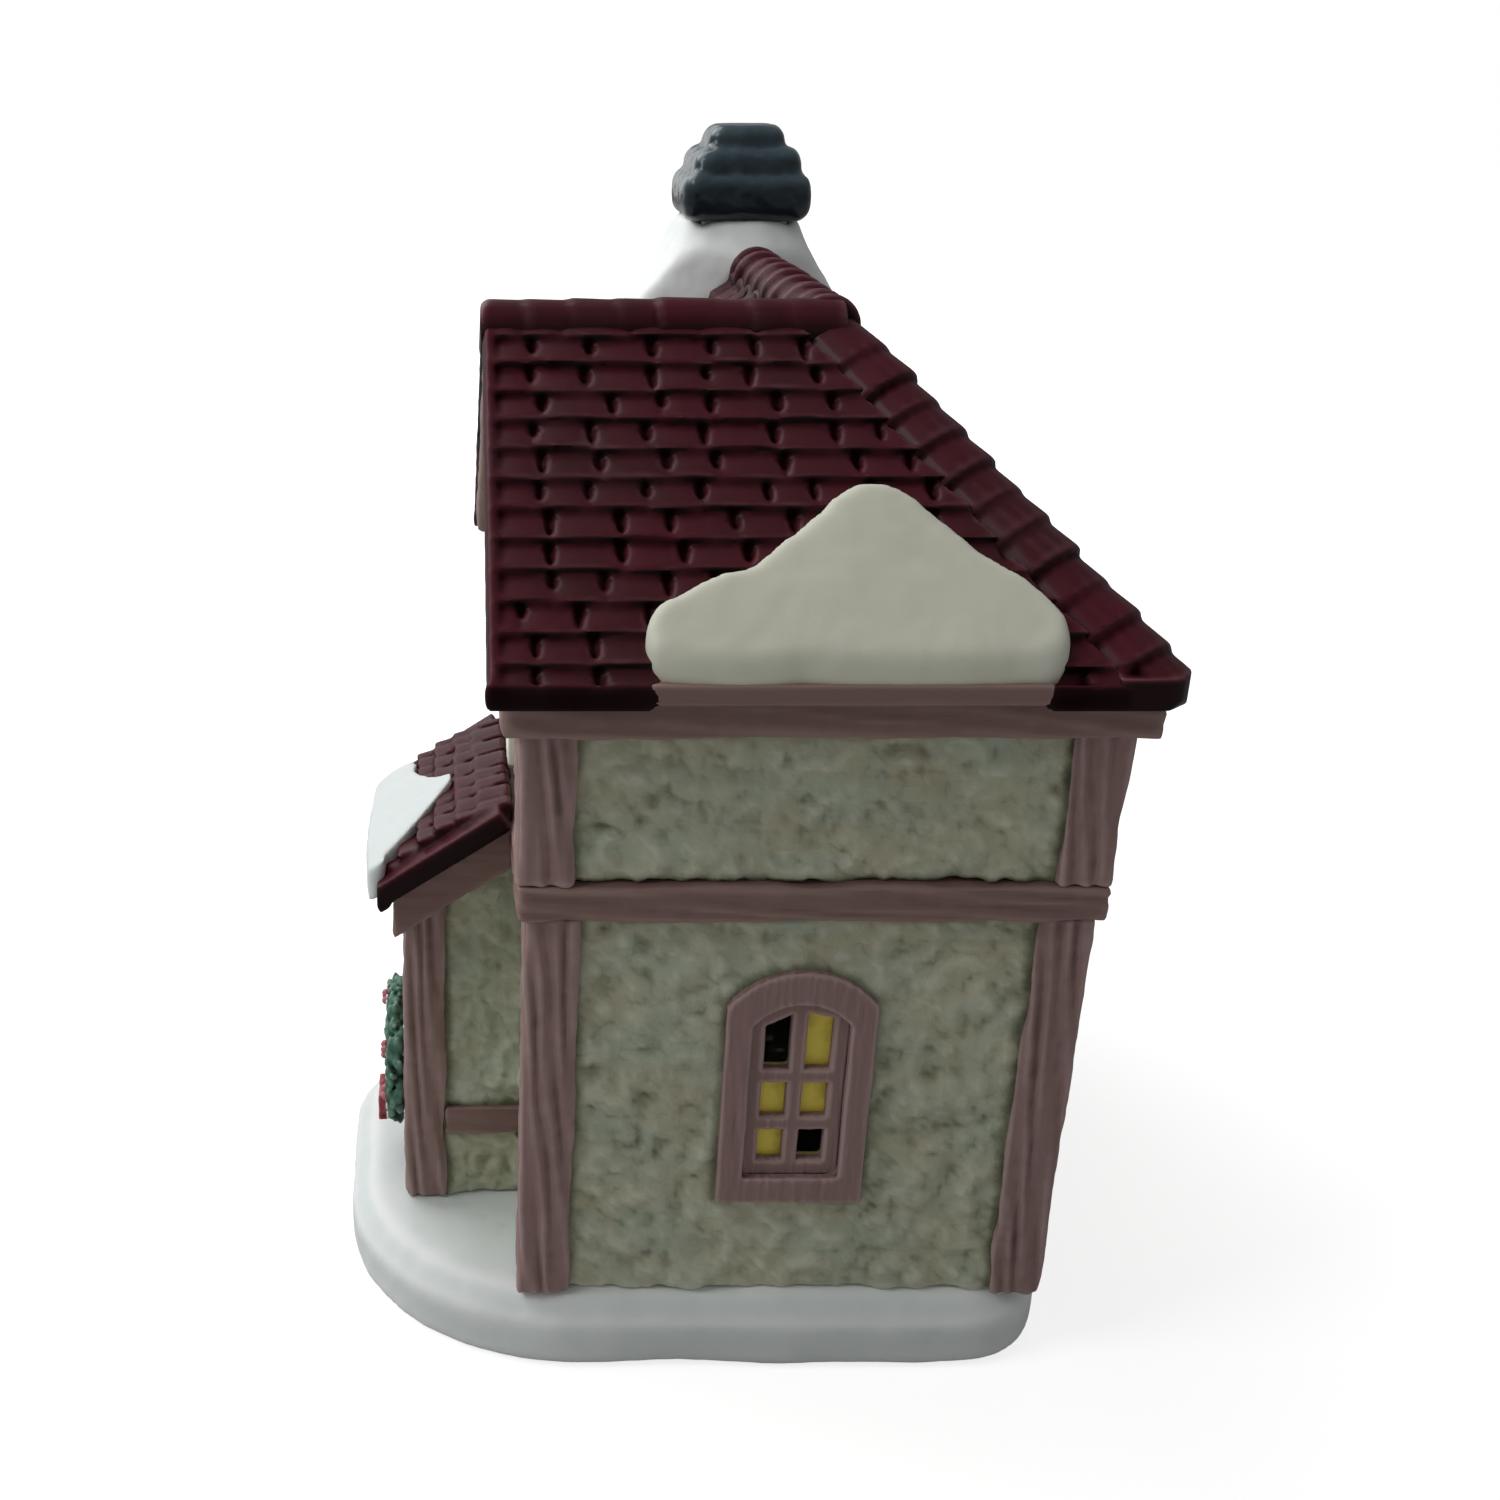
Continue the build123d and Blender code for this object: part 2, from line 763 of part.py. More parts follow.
with BuildPart() as upper_window_panes:
    with BuildSketch(gable_face.offset(-sash_setback - sash_thickness)):
        with Locations((0, upper_middle)):
            Rectangle(upper_inner_width, upper_inner_height)
    extrude(amount=-pane_thickness)
save(upper_window_panes, "upper_window_panes")

with BuildPart() as garland:
    with BuildSketch(gable_face):
        with BuildLine():
            Line((garland_width / 2, cornice_low), (-garland_width / 2, cornice_low))
            ThreePointArc(
                (-garland_width / 2, cornice_low),
                (0, garland_low),
                (garland_width / 2, cornice_low),
            )
        make_face()
    extrude(amount=garland_thickness)
save(garland, "upper_garland")

brace_right_foot = wall_right - wing_ridge_x - post_width - brace_inset
brace_left_foot = wing_ridge_x - wing_left - post_width - brace_inset
for brace_name, side, brace_foot in (("right", 1, brace_right_foot), ("left", -1, brace_left_foot)):
    with BuildPart() as brace:
        with BuildSketch(gable_face):
            Polygon(
                (side * brace_foot, belt_high),
                (side * (brace_foot - brace_reach), cornice_low),
                (side * (brace_foot - brace_reach - brace_width), cornice_low),
                (side * (brace_foot - brace_width), belt_high),
                align=None,
            )
        extrude(amount=brace_proud)
    save(brace, f"upper_brace_{brace_name}")

# Porch: lean-to in front of the gable
porch_run = wing_front - belt_proud - porch_eave
porch_slope = porch_rise / porch_run
porch_right = wing_ridge_x + porch_half
porch_left = wing_ridge_x - porch_half
porch_head = wing_front - belt_proud
deck_under = porch_eave_top - porch_tile_layer - porch_deck


def under_porch(distance):
    """Height of the porch deck's underside at a distance from the eave."""
    return deck_under + distance * porch_slope


def porch_wall_profile(front, back):
    """Side outline of a porch wall between two y places, under the sloping deck."""
    return [
        (front, base_top),
        (back, base_top),
        (back, under_porch(min(back, porch_head) - porch_eave)),
        (min(back, porch_head), under_porch(min(back, porch_head) - porch_eave)),
        (front, under_porch(front - porch_eave)),
    ]


porch_sides = {"right": porch_right - porch_wall, "left": porch_left}
for side_name, inner in porch_sides.items():
    with BuildPart() as porch_side:
        with BuildSketch(Plane.YZ.offset(inner)):
            Polygon(*porch_wall_profile(porch_front + porch_wall, wing_front), align=None)
        extrude(amount=porch_wall)
    save(porch_side, f"porch_wall_{side_name}")

porch_face = Plane(origin=(wing_ridge_x, porch_front, 0), x_dir=(1, 0, 0), z_dir=(0, -1, 0))
with BuildPart() as porch_wall_front:
    with BuildSketch(Plane.YZ.offset(porch_left)):
        Polygon(*porch_wall_profile(porch_front, porch_front + porch_wall)[:3],
                (porch_front, under_porch(porch_front - porch_eave)), align=None)
    extrude(amount=2 * porch_half)
    with BuildSketch(porch_face):
        add(arched_outline(2 * door_half, base_top, door_top, arch_rise))
    extrude(amount=-porch_wall, mode=Mode.SUBTRACT)
save(porch_wall_front, "porch_wall_front")

with BuildPart() as under_deck:
    with BuildSketch(Plane.YZ.offset(-everywhere / 2)):
        Polygon(
            (porch_eave, 0),
            (porch_head, 0),
            (porch_head, under_porch(porch_run)),
            (porch_eave, under_porch(0)),
            align=None,
        )
    extrude(amount=everywhere)

for side_name, out in (("right", 1), ("left", -1)):
    face_x = wing_ridge_x + out * (porch_half + porch_post_proud)
    face_y = porch_front - porch_post_proud
    with BuildPart() as porch_post:
        with BuildSketch(Plane.XY.offset(base_top)):
            Polygon(
                (face_x, face_y),
                (face_x - out * porch_post_width, face_y),
                (face_x - out * porch_post_width, porch_front),
                (face_x - out * porch_post_proud, porch_front),
                (face_x - out * porch_post_proud, face_y + porch_post_width),
                (face_x, face_y + porch_post_width),
                align=None,
            )
        extrude(amount=porch_eave_top - base_top)
        add(under_deck.part, mode=Mode.INTERSECT)
    save(porch_post, f"porch_post_{side_name}")
    rail_plane = Plane(
        origin=(wing_ridge_x + out * porch_half, 0, 0), x_dir=(0, out, 0), z_dir=(out, 0, 0),
    )
    rail_front = face_y + porch_post_width
    with BuildPart() as rail:
        with BuildSketch(rail_plane):
            with Locations((out * (rail_front + wing_front) / 2, rail_low + rail_height / 2)):
                Rectangle(wing_front - rail_front, rail_height)
        extrude(amount=rail_proud)
    save(rail, f"porch_rail_{side_name}")

with BuildPart() as porch_roof_deck:
    with BuildSketch(Plane.YZ.offset(wing_ridge_x - porch_roof_half + porch_trim)):
        Polygon(
            (porch_eave + porch_trim, under_porch(porch_trim)),
            (porch_head, under_porch(porch_run)),
            (porch_head, under_porch(porch_run) + porch_deck),
            (porch_eave + porch_trim, under_porch(porch_trim) + porch_deck),
            align=None,
        )
    extrude(amount=2 * (porch_roof_half - porch_trim))
save(porch_roof_deck, "porch_roof_deck")

porch_roof_left = wing_ridge_x - porch_roof_half
porch_roof_right = wing_ridge_x + porch_roof_half
porch_snow_plan = drift_face(porch_snow_edge)
porch_tiles = tile_slope(
    (porch_roof_left, porch_eave, deck_under + porch_deck), Vector(0, 1, 0), 2 * porch_roof_half,
    porch_run, porch_rise, porch_tile_layer, porch_courses, porch_tile_width,
    [
        (porch_roof_left, porch_eave),
        (porch_roof_right, porch_eave),
        (porch_roof_right, porch_head),
        (porch_roof_left, porch_head),
    ],
    [porch_snow_plan],
)
save(porch_tiles, "porch_tiles")

with BuildPart() as porch_snow:
    with BuildSketch(Plane.XY.offset(base_top)):
        add(porch_snow_plan)
    extrude(amount=everywhere)
    with BuildSketch(Plane.YZ.offset(porch_roof_left)):
        Polygon(
            (porch_eave - porch_trim, under_porch(-porch_trim) + porch_deck),
            (porch_head, under_porch(porch_run) + porch_deck),
            (porch_head, porch_eave_top + porch_rise + porch_snow_depth),
            (porch_eave - porch_trim, porch_eave_top - porch_trim * porch_slope + porch_snow_depth),
            align=None,
        )
    extrude(amount=2 * porch_roof_half, mode=Mode.INTERSECT)
save(porch_snow, "porch_snow")

# Front door in the porch, with its wreath and bow
with BuildPart() as front_door:
    with BuildSketch(porch_face.offset(-door_setback)):
        add(arched_outline(2 * door_half, base_top, door_top, arch_rise))
    extrude(amount=-door_thickness)
save(front_door, "front_door")

wreath_face = Plane(
    origin=(wing_ridge_x, porch_front - porch_post_proud, wreath_height),
    x_dir=(1, 0, 0),
    z_dir=(0, -1, 0),
)
with BuildPart() as door_wreath:
    with BuildSketch(wreath_face):
        RegularPolygon(wreath_radius, wreath_sides)
        RegularPolygon(wreath_radius - wreath_width, wreath_sides, mode=Mode.SUBTRACT)
    extrude(amount=wreath_thickness)
    chamfer(door_wreath.faces().sort_by(Axis.Y)[0].edges(), wreath_bevel)
save(door_wreath, "door_wreath")

bow_plane = wreath_face.offset(wreath_thickness)
bow_level = wreath_width / 2 - wreath_radius
with BuildPart() as wreath_bow:
    with BuildSketch(bow_plane):
        Polygon(
            (-bow_width / 2, bow_level + bow_height / 2),
            (0, bow_level + bow_knot / 2),
            (bow_width / 2, bow_level + bow_height / 2),
            (bow_width / 2, bow_level - bow_height / 2),
            (0, bow_level - bow_knot / 2),
            (-bow_width / 2, bow_level - bow_height / 2),
            align=None,
        )
    extrude(amount=bow_depth)
save(wreath_bow, "wreath_bow")

# Lamp: socket with its flange outside the back wall, contact shell, spring clip and bulb
shell_inner = bulb_cap_radius + thread_clearance
shell_outer = shell_inner + shell_thickness
shell_depth = bulb_cap_length + shell_thickness + thread_clearance
socket_back = flange_thickness + boss_length
with BuildPart() as lamp_socket:
    with BuildSketch(lamp_section):
        Polygon(
            (shell_outer, -socket_inside),
            (socket_radius, -socket_inside),
            (socket_radius, 0),
            (flange_radius, 0),
            (flange_radius, flange_thickness),
            (boss_radius, flange_thickness),
            (boss_radius, socket_back),
            (cord_inlet_radius, socket_back),
            (cord_inlet_radius, socket_back - cord_inlet_depth),
            (0, socket_back - cord_inlet_depth),
            (0, shell_depth - socket_inside),
            (shell_outer, shell_depth - socket_inside),
            align=None,
        )
    revolve(axis=lamp_axis)
save(lamp_socket, "lamp_socket")

with BuildPart() as contact_shell:
    with BuildSketch(lamp_section):
        Polygon(
            (shell_inner, -socket_inside),
            (shell_outer, -socket_inside),
            (shell_outer, shell_depth - socket_inside),
            (0, shell_depth - socket_inside),
            (0, shell_depth - shell_thickness - socket_inside),
            (shell_inner, shell_depth - shell_thickness - socket_inside),
            align=None,
        )
    revolve(axis=lamp_axis)
save(contact_shell, "lamp_contact_shell")

with BuildPart() as lamp_clip:
    with BuildSketch(lamp_face.offset(-wall_thickness)):
        RegularPolygon(socket_radius + clip_ring, clip_sides, major_radius=False)
        Circle(socket_radius, mode=Mode.SUBTRACT)
    extrude(amount=clip_thickness)
    for side in (1, -1):
        with BuildSketch(lamp_section.offset(-clip_width / 2)):
            Polygon(
                (side * (socket_radius + clip_thickness), clip_thickness - wall_thickness),
                (side * clip_reach, -wall_thickness - clip_length / 2),
                (side * (socket_radius + clip_thickness), -wall_thickness - clip_length),
                (side * socket_radius, -wall_thickness - clip_length),
                (side * (clip_reach - clip_thickness), -wall_thickness - clip_length / 2),
                (side * socket_radius, clip_thickness - wall_thickness),
                align=None,
            )
        extrude(amount=clip_width)
    with BuildSketch(lamp_face.offset(-wall_thickness - clip_length)):
        Circle(socket_radius)
    extrude(amount=wall_thickness + clip_length, mode=Mode.SUBTRACT)
save(lamp_clip, "lamp_spring_clip")

cap_bottom = bulb_cap_length - socket_inside
with BuildPart() as bulb_cap:
    with BuildSketch(lamp_section):
        Polygon(
            (0, -socket_inside - bulb_cap_rim),
            (bulb_cap_radius, -socket_inside - bulb_cap_rim),
            (bulb_cap_radius, cap_bottom),
            (0, cap_bottom),
            align=None,
        )
    revolve(axis=lamp_axis)
save(bulb_cap, "bulb_cap")

glass_low = -socket_inside - bulb_cap_rim
bulb_half = [(bulb_cap_radius, glass_low)]
bulb_half += [(radius, glass_low - distance) for radius, distance in bulb_profile]
bulb_outline = bulb_half + [(-radius, level) for radius, level in reversed(bulb_half)]
with BuildPart() as bulb_glass:
    for side in range(bulb_sides // 2):
        with BuildSketch(lamp_section.rotated((0, side * 360 / bulb_sides, 0))):
            Polygon(*bulb_outline, align=None)
        extrude(amount=flange_radius, both=True, mode=Mode.INTERSECT if side else Mode.ADD)
save(bulb_glass, "bulb_glass")
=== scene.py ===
"""Painted ceramic village house: modelled skins, hand-painted finishes, studio and camera."""

import logging
import math
import random
from collections.abc import Callable
from dataclasses import dataclass, field
from enum import Enum

import bpy
import numpy as np
from mathutils import Matrix, Vector
from mathutils.kdtree import KDTree


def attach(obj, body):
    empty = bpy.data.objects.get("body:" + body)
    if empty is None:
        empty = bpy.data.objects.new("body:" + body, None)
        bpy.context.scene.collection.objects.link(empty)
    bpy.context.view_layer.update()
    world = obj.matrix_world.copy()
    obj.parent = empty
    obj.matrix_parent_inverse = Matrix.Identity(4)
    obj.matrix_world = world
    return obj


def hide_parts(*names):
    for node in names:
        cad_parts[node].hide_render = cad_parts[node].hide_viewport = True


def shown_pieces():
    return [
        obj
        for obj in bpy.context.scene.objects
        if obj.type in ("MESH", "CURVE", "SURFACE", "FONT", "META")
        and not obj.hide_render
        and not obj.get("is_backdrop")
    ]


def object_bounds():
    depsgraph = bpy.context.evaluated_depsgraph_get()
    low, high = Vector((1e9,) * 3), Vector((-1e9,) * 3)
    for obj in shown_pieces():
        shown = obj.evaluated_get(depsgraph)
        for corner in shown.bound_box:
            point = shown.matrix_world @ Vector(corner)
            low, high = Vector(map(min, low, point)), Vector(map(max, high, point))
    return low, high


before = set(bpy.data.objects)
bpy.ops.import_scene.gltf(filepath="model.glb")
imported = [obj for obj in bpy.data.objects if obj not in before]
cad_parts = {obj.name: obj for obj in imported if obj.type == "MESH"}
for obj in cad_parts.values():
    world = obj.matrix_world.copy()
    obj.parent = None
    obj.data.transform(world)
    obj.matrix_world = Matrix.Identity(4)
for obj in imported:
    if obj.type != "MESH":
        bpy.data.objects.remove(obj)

LOG = logging.getLogger("village_house")
CAD_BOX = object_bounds()
MM = 0.001
WELD = 0.002 * MM
QUARTER = math.radians(90)
FACING_FRONT = Matrix.Rotation(QUARTER, 4, "X")

Thing = bpy.types.Object
Socket = bpy.types.NodeSocket
Triple = tuple[float, float, float]
Plane = tuple[Triple, Triple]
Span = tuple[float, float]


class Grain(Enum):
    """Direction in which a timber's grain runs."""

    UP = (1.0, 1.0, 9.0)
    ACROSS = (9.0, 9.0, 1.0)

    def carved(self) -> Triple:
        """Give the stretch of a banded relief with a groove about every three millimetres."""
        return tuple(4.8 * along for along in self.value)


def linear(hex_colour: str) -> tuple[float, ...]:
    """Turn an sRGB hex colour into linear RGBA.

    Args:
        hex_colour: colour such as "#8b8f7c".

    Returns:
        Linear red, green, blue and an alpha of one.
    """
    values = [int(hex_colour[i:i + 2], 16) / 255 for i in (1, 3, 5)]
    return tuple(v / 12.92 if v <= 0.04045 else ((v + 0.055) / 1.055) ** 2.4 for v in values) + (1.0,)


def select_only(piece: Thing) -> None:
    """Make one object the only selected one, and the active one."""
    bpy.ops.object.select_all(action="DESELECT")
    piece.select_set(True)
    bpy.context.view_layer.objects.active = piece


def open_all(piece: Thing) -> None:
    """Open a piece for editing with all of it selected."""
    select_only(piece)
    bpy.ops.object.mode_set(mode="EDIT")
    bpy.ops.mesh.select_all(action="SELECT")


def close() -> None:
    """Leave editing."""
    bpy.ops.object.mode_set(mode="OBJECT")


def pick(piece: Thing, test: Callable[[Vector], bool]) -> None:
    """Select a piece's points by their place, and open it for editing.

    Args:
        piece: the object.
        test: tells for a point's place whether it is wanted.
    """
    select_only(piece)
    bpy.ops.object.mode_set(mode="EDIT")
    bpy.ops.mesh.select_mode(type="VERT")
    bpy.ops.mesh.select_all(action="DESELECT")
    close()
    for point in piece.data.vertices:
        point.select = test(point.co)
    bpy.ops.object.mode_set(mode="EDIT")


def move_points(piece: Thing, test: Callable[[Vector], bool], up: float) -> None:
    """Move some of a piece's points up.

    Args:
        piece: the object.
        test: tells for a point's place whether it moves.
        up: how far it moves, in millimetres.
    """
    pick(piece, test)
    bpy.ops.transform.translate(value=(0, 0, up * MM))
    close()


def size_points(piece: Thing, test: Callable[[Vector], bool], size: Triple) -> None:
    """Draw some of a piece's points together or apart.

    Args:
        piece: the object.
        test: tells for a point's place whether it moves.
        size: the scale along each axis.
    """
    pick(piece, test)
    bpy.ops.transform.resize(value=size)
    close()


def added(operator: Callable, **settings: object) -> Thing:
    """Add one of Blender's basic shapes with nothing else selected.

    Args:
        operator: the operator that adds it.
        settings: the operator's properties.

    Returns:
        The new object.
    """
    bpy.ops.object.select_all(action="DESELECT")
    operator(**settings)
    return bpy.context.active_object


def apply_modifier(piece: Thing, kind: str, **settings: object) -> None:
    """Add a modifier with its settings and apply it.

    Args:
        piece: the object.
        kind: Blender's name of the modifier.
        settings: the modifier's properties.
    """
    select_only(piece)
    modifier = piece.modifiers.new(kind.lower(), kind)
    for key, value in settings.items():
        setattr(modifier, key, value)
    bpy.ops.object.modifier_apply(modifier=modifier.name)


def cast_copy(source: str, name: str) -> Thing:
    """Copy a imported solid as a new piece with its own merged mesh.

    Args:
        source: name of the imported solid.
        name: name of the new piece.

    Returns:
        The new object, at the origin.
    """
    piece = bpy.data.objects.new(name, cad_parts[source].data.copy())
    bpy.context.scene.collection.objects.link(piece)
    piece.data.materials.clear()
    open_all(piece)
    bpy.ops.mesh.remove_doubles(threshold=WELD)
    close()
    return piece


def slip_cast(piece: Thing, voxel: float, rounds: int, strength: float = 0.5) -> None:
    """Give a piece the soft edges of a slip casting.

    Args:
        piece: the object to soften.
        voxel: grid of the skin, in millimetres.
        rounds: how often the skin is smoothed.
        strength: how far each smoothing goes.
    """
    apply_modifier(piece, "REMESH", mode="VOXEL", voxel_size=voxel * MM, use_smooth_shade=True)
    apply_modifier(piece, "SMOOTH", factor=strength, iterations=rounds)


def swell(piece: Thing, depth: float) -> None:
    """Grow a piece's skin by a depth in millimetres."""
    apply_modifier(piece, "DISPLACE", strength=depth * MM, mid_level=0.0)


def press(piece: Thing, kind: str, scale: float, depth: float, stretch: Triple = (1.0, 1.0, 1.0),
          **settings: object) -> None:
    """Press a worked texture into a piece's skin.

    Args:
        piece: the object to work.
        kind: Blender's name of the relief texture.
        scale: size of the marks, in millimetres.
        depth: height between the marks' tops and bottoms, in millimetres.
        stretch: how many times longer the marks are along each axis.
        settings: other properties of the relief texture.
    """
    relief = bpy.data.textures.new(f"{piece.name}_relief", kind)
    relief.noise_scale = scale
    for key, value in settings.items():
        setattr(relief, key, value)
    guide = added(bpy.ops.object.empty_add, location=(0, 0, 0))
    guide.scale = [along * MM for along in stretch]
    bpy.context.view_layer.update()
    apply_modifier(piece, "DISPLACE", texture=relief, strength=depth * MM, mid_level=0.5,
                   texture_coords="OBJECT", texture_coords_object=guide)
    bpy.data.objects.remove(guide)


def write_cavity(piece: Thing, rounds: int = 6, reach: float = 0.25) -> None:
    """Store how hollow or raised the skin is, for painted shade in hollows and painted highlight on raised parts.

    Args:
        piece: the object whose mesh gets the "cavity" attribute, 0 in hollows and 1 on edges.
        rounds: how far the skin around a point is averaged.
        reach: height in millimetres that counts as fully hollow or raised.
    """
    mesh = piece.data
    count = len(mesh.vertices)
    places = np.empty(count * 3)
    mesh.vertices.foreach_get("co", places)
    places = places.reshape(-1, 3)
    normals = np.empty(count * 3, dtype=np.float32)
    mesh.vertex_normals.foreach_get("vector", normals)
    edges = np.empty(len(mesh.edges) * 2, dtype=np.int32)
    mesh.edges.foreach_get("vertices", edges)
    one, two = edges.reshape(-1, 2).T
    degree = np.maximum(np.bincount(one, minlength=count) + np.bincount(two, minlength=count), 1)
    mean = places.copy()
    for _ in range(rounds):
        total = [np.bincount(one, mean[two, axis], count) + np.bincount(two, mean[one, axis], count)
                 for axis in range(3)]
        mean = np.stack(total, axis=1) / degree[:, None]
    height = ((places - mean) * normals.reshape(-1, 3)).sum(axis=1)
    value = np.clip(0.5 + 0.5 * height / (reach * MM), 0, 1).astype(np.float32)
    mesh.attributes.new("cavity", "FLOAT", "POINT").data.foreach_set("value", value)


def shade_seams(piece: Thing, others: list[Thing], width: float = 1.3, dark: float = 0.3) -> None:
    """Paint shade where a piece meets its neighbours.

    Args:
        piece: the object whose "cavity" attribute is lowered along its seams.
        others: the neighbours.
        width: width of the seam, in millimetres.
        dark: share of the width that is fully dark.
    """
    points = [point.co for other in others for point in other.data.vertices]
    nearest = KDTree(len(points))
    for index, point in enumerate(points):
        nearest.insert(point, index)
    nearest.balance()
    layer = piece.data.attributes["cavity"].data
    for point in piece.data.vertices:
        gap = nearest.find(point.co)[2] / (width * MM)
        layer[point.index].value *= min(1.0, max(0.0, gap - dark))


def paint_eave_shade(piece: Thing, axes: Matrix, width: float, least: float = 0.62) -> None:
    """Paint shade along the lower edge of a slope, where dark glaze also pools.

    Args:
        piece: the object whose "cavity" attribute is lowered there.
        axes: the slope's own axes, with Y up the slope.
        width: how far up the slope the painted shade reaches, in millimetres.
        least: what stays of the attribute at the edge.
    """
    back = axes.inverted()
    layer = piece.data.attributes["cavity"].data
    for point in piece.data.vertices:
        up = (back @ point.co).y / (width * MM)
        if up < 1:
            layer[point.index].value *= max(least, up)


def keep_in_box(piece: Thing) -> None:
    """Hold a piece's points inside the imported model's box."""
    mesh = piece.data
    places = np.empty(len(mesh.vertices) * 3)
    mesh.vertices.foreach_get("co", places)
    low, high = (np.array(corner) for corner in CAD_BOX)
    held = np.clip(places.reshape(-1, 3), low, high)
    mesh.vertices.foreach_set("co", held.ravel())
    mesh.update()


def feed(tree: bpy.types.NodeTree, target: bpy.types.Node, links: dict) -> None:
    """Set a node's inputs.

    Args:
        tree: the node tree.
        target: the node.
        links: input name or number to an output socket or a plain value.
    """
    for key, value in links.items():
        if isinstance(value, Socket):
            tree.links.new(value, target.inputs[key])
        else:
            target.inputs[key].default_value = value


def node(tree: bpy.types.NodeTree, kind: str, links: dict | None = None, **settings: object) -> bpy.types.Node:
    """Add one shader node with its settings and links.

    Args:
        tree: the node tree.
        kind: Blender's type name of the node, without its first part.
        links: input name or number to an output socket or a plain value.
        settings: properties of the node.

    Returns:
        The new node.
    """
    new = tree.nodes.new(f"ShaderNode{kind}")
    for key, value in settings.items():
        setattr(new, key, value)
    feed(tree, new, links or {})
    return new


class Mixer:
    """Shader nodes of one finish, added step by step."""

    def __init__(self, name: str) -> None:
        """Start a finish.

        Args:
            name: name of the material.
        """
        self.material = bpy.data.materials.new(name)
        self.material.use_nodes = True
        self.tree = self.material.node_tree
        self.place = self.add("TexCoord").outputs["Object"]

    def add(self, kind: str, links: dict | None = None, **settings: object) -> bpy.types.Node:
        """Add one node, as the function node does."""
        return node(self.tree, kind, links, **settings)

    def cavity(self) -> Socket:
        """Read how hollow or raised the skin is."""
        return self.add("Attribute", attribute_name="cavity").outputs["Fac"]

    def stretched(self, scale: Triple) -> Socket:
        """Give places in the object, scaled along each axis."""
        return self.add("Mapping", {"Vector": self.place, "Scale": scale}).outputs[0]

    def noise(self, size: float, detail: float, place: Socket | None = None) -> Socket:
        """Give cloudy noise with marks of a size in millimetres."""
        links = {"Vector": place or self.place, "Scale": 1 / (size * MM), "Detail": detail}
        return self.add("TexNoise", links).outputs["Fac"]

    def ramp(self, value: Socket, low: float, high: float, first: float = 0.0, last: float = 1.0) -> Socket:
        """Map the range from low to high onto that from first to last, held at both ends."""
        links = {"Value": value, "From Min": low, "From Max": high, "To Min": first, "To Max": last}
        return self.add("MapRange", links).outputs[0]

    def maths(self, operation: str, *values: Socket | float) -> Socket:
        """Combine values by one operation."""
        return self.add("Math", dict(enumerate(values)), operation=operation).outputs[0]

    def vectors(self, operation: str, links: dict) -> Socket:
        """Combine vectors by one operation."""
        return self.add("VectorMath", links, operation=operation).outputs[0]

    def blend(self, share: Socket, first: Socket | str, second: Socket | str) -> Socket:
        """Mix two colours, each a hex colour or a socket."""
        ends = [linear(colour) if isinstance(colour, str) else colour for colour in (first, second)]
        return self.add("Mix", {"Factor": share, 6: ends[0], 7: ends[1]}, data_type="RGBA").outputs[2]

    def bump(self, height: Socket, strength: float, depth: float) -> Socket:
        """Give the normals of a fine relief with a depth in millimetres."""
        return self.add("Bump", {"Height": height, "Strength": strength, "Distance": depth * MM}).outputs[0]

    def finish(self, inputs: dict) -> bpy.types.Material:
        """Set the surface's inputs and hand over the material."""
        feed(self.tree, self.tree.nodes["Principled BSDF"], inputs)
        return self.material


@dataclass(frozen=True)
class PaintedBisque:
    """Fired, unglazed clay painted matt with a brush, with painted shade in its hollows and painted highlight on
    its raised edges.
    """

    name: str
    paint: str
    # Colour of the painted shade in the hollows
    hollow_shade: str
    # Colour of the painted highlight on the raised edges
    high: str
    patch: float = 9.0
    grit: float = 0.5
    bump: float = 0.12
    roughness: float = 0.72
    stretch: Triple = (1.0, 1.0, 1.0)
    hollows: Span = (0.30, 0.50)
    edges: Span = (0.54, 0.80)
    specular: float = 0.35
    uneven: float = 0.09

    def material(self) -> bpy.types.Material:
        """Build the material.

        Returns:
            The new material.
        """
        mix = Mixer(self.name)
        grain = mix.stretched([1 / along for along in self.stretch])
        cloud = mix.ramp(mix.noise(self.patch, 4.0, grain), 0.3, 0.7, -self.uneven, self.uneven)
        tone = mix.maths("ADD", mix.cavity(), cloud)
        # Painted shade in the hollows and painted highlight on the raised edges, moved about by random patches
        hollow_shaded = mix.blend(mix.ramp(tone, *self.hollows), self.hollow_shade, self.paint)
        edge_highlit = mix.blend(mix.ramp(tone, *self.edges), hollow_shaded, self.high)
        relief = mix.bump(mix.noise(self.grit, 3.0, grain), 0.5, self.bump)
        return mix.finish({"Base Color": edge_highlit, "Normal": relief, "Roughness": self.roughness,
                           "Specular IOR Level": self.specular})


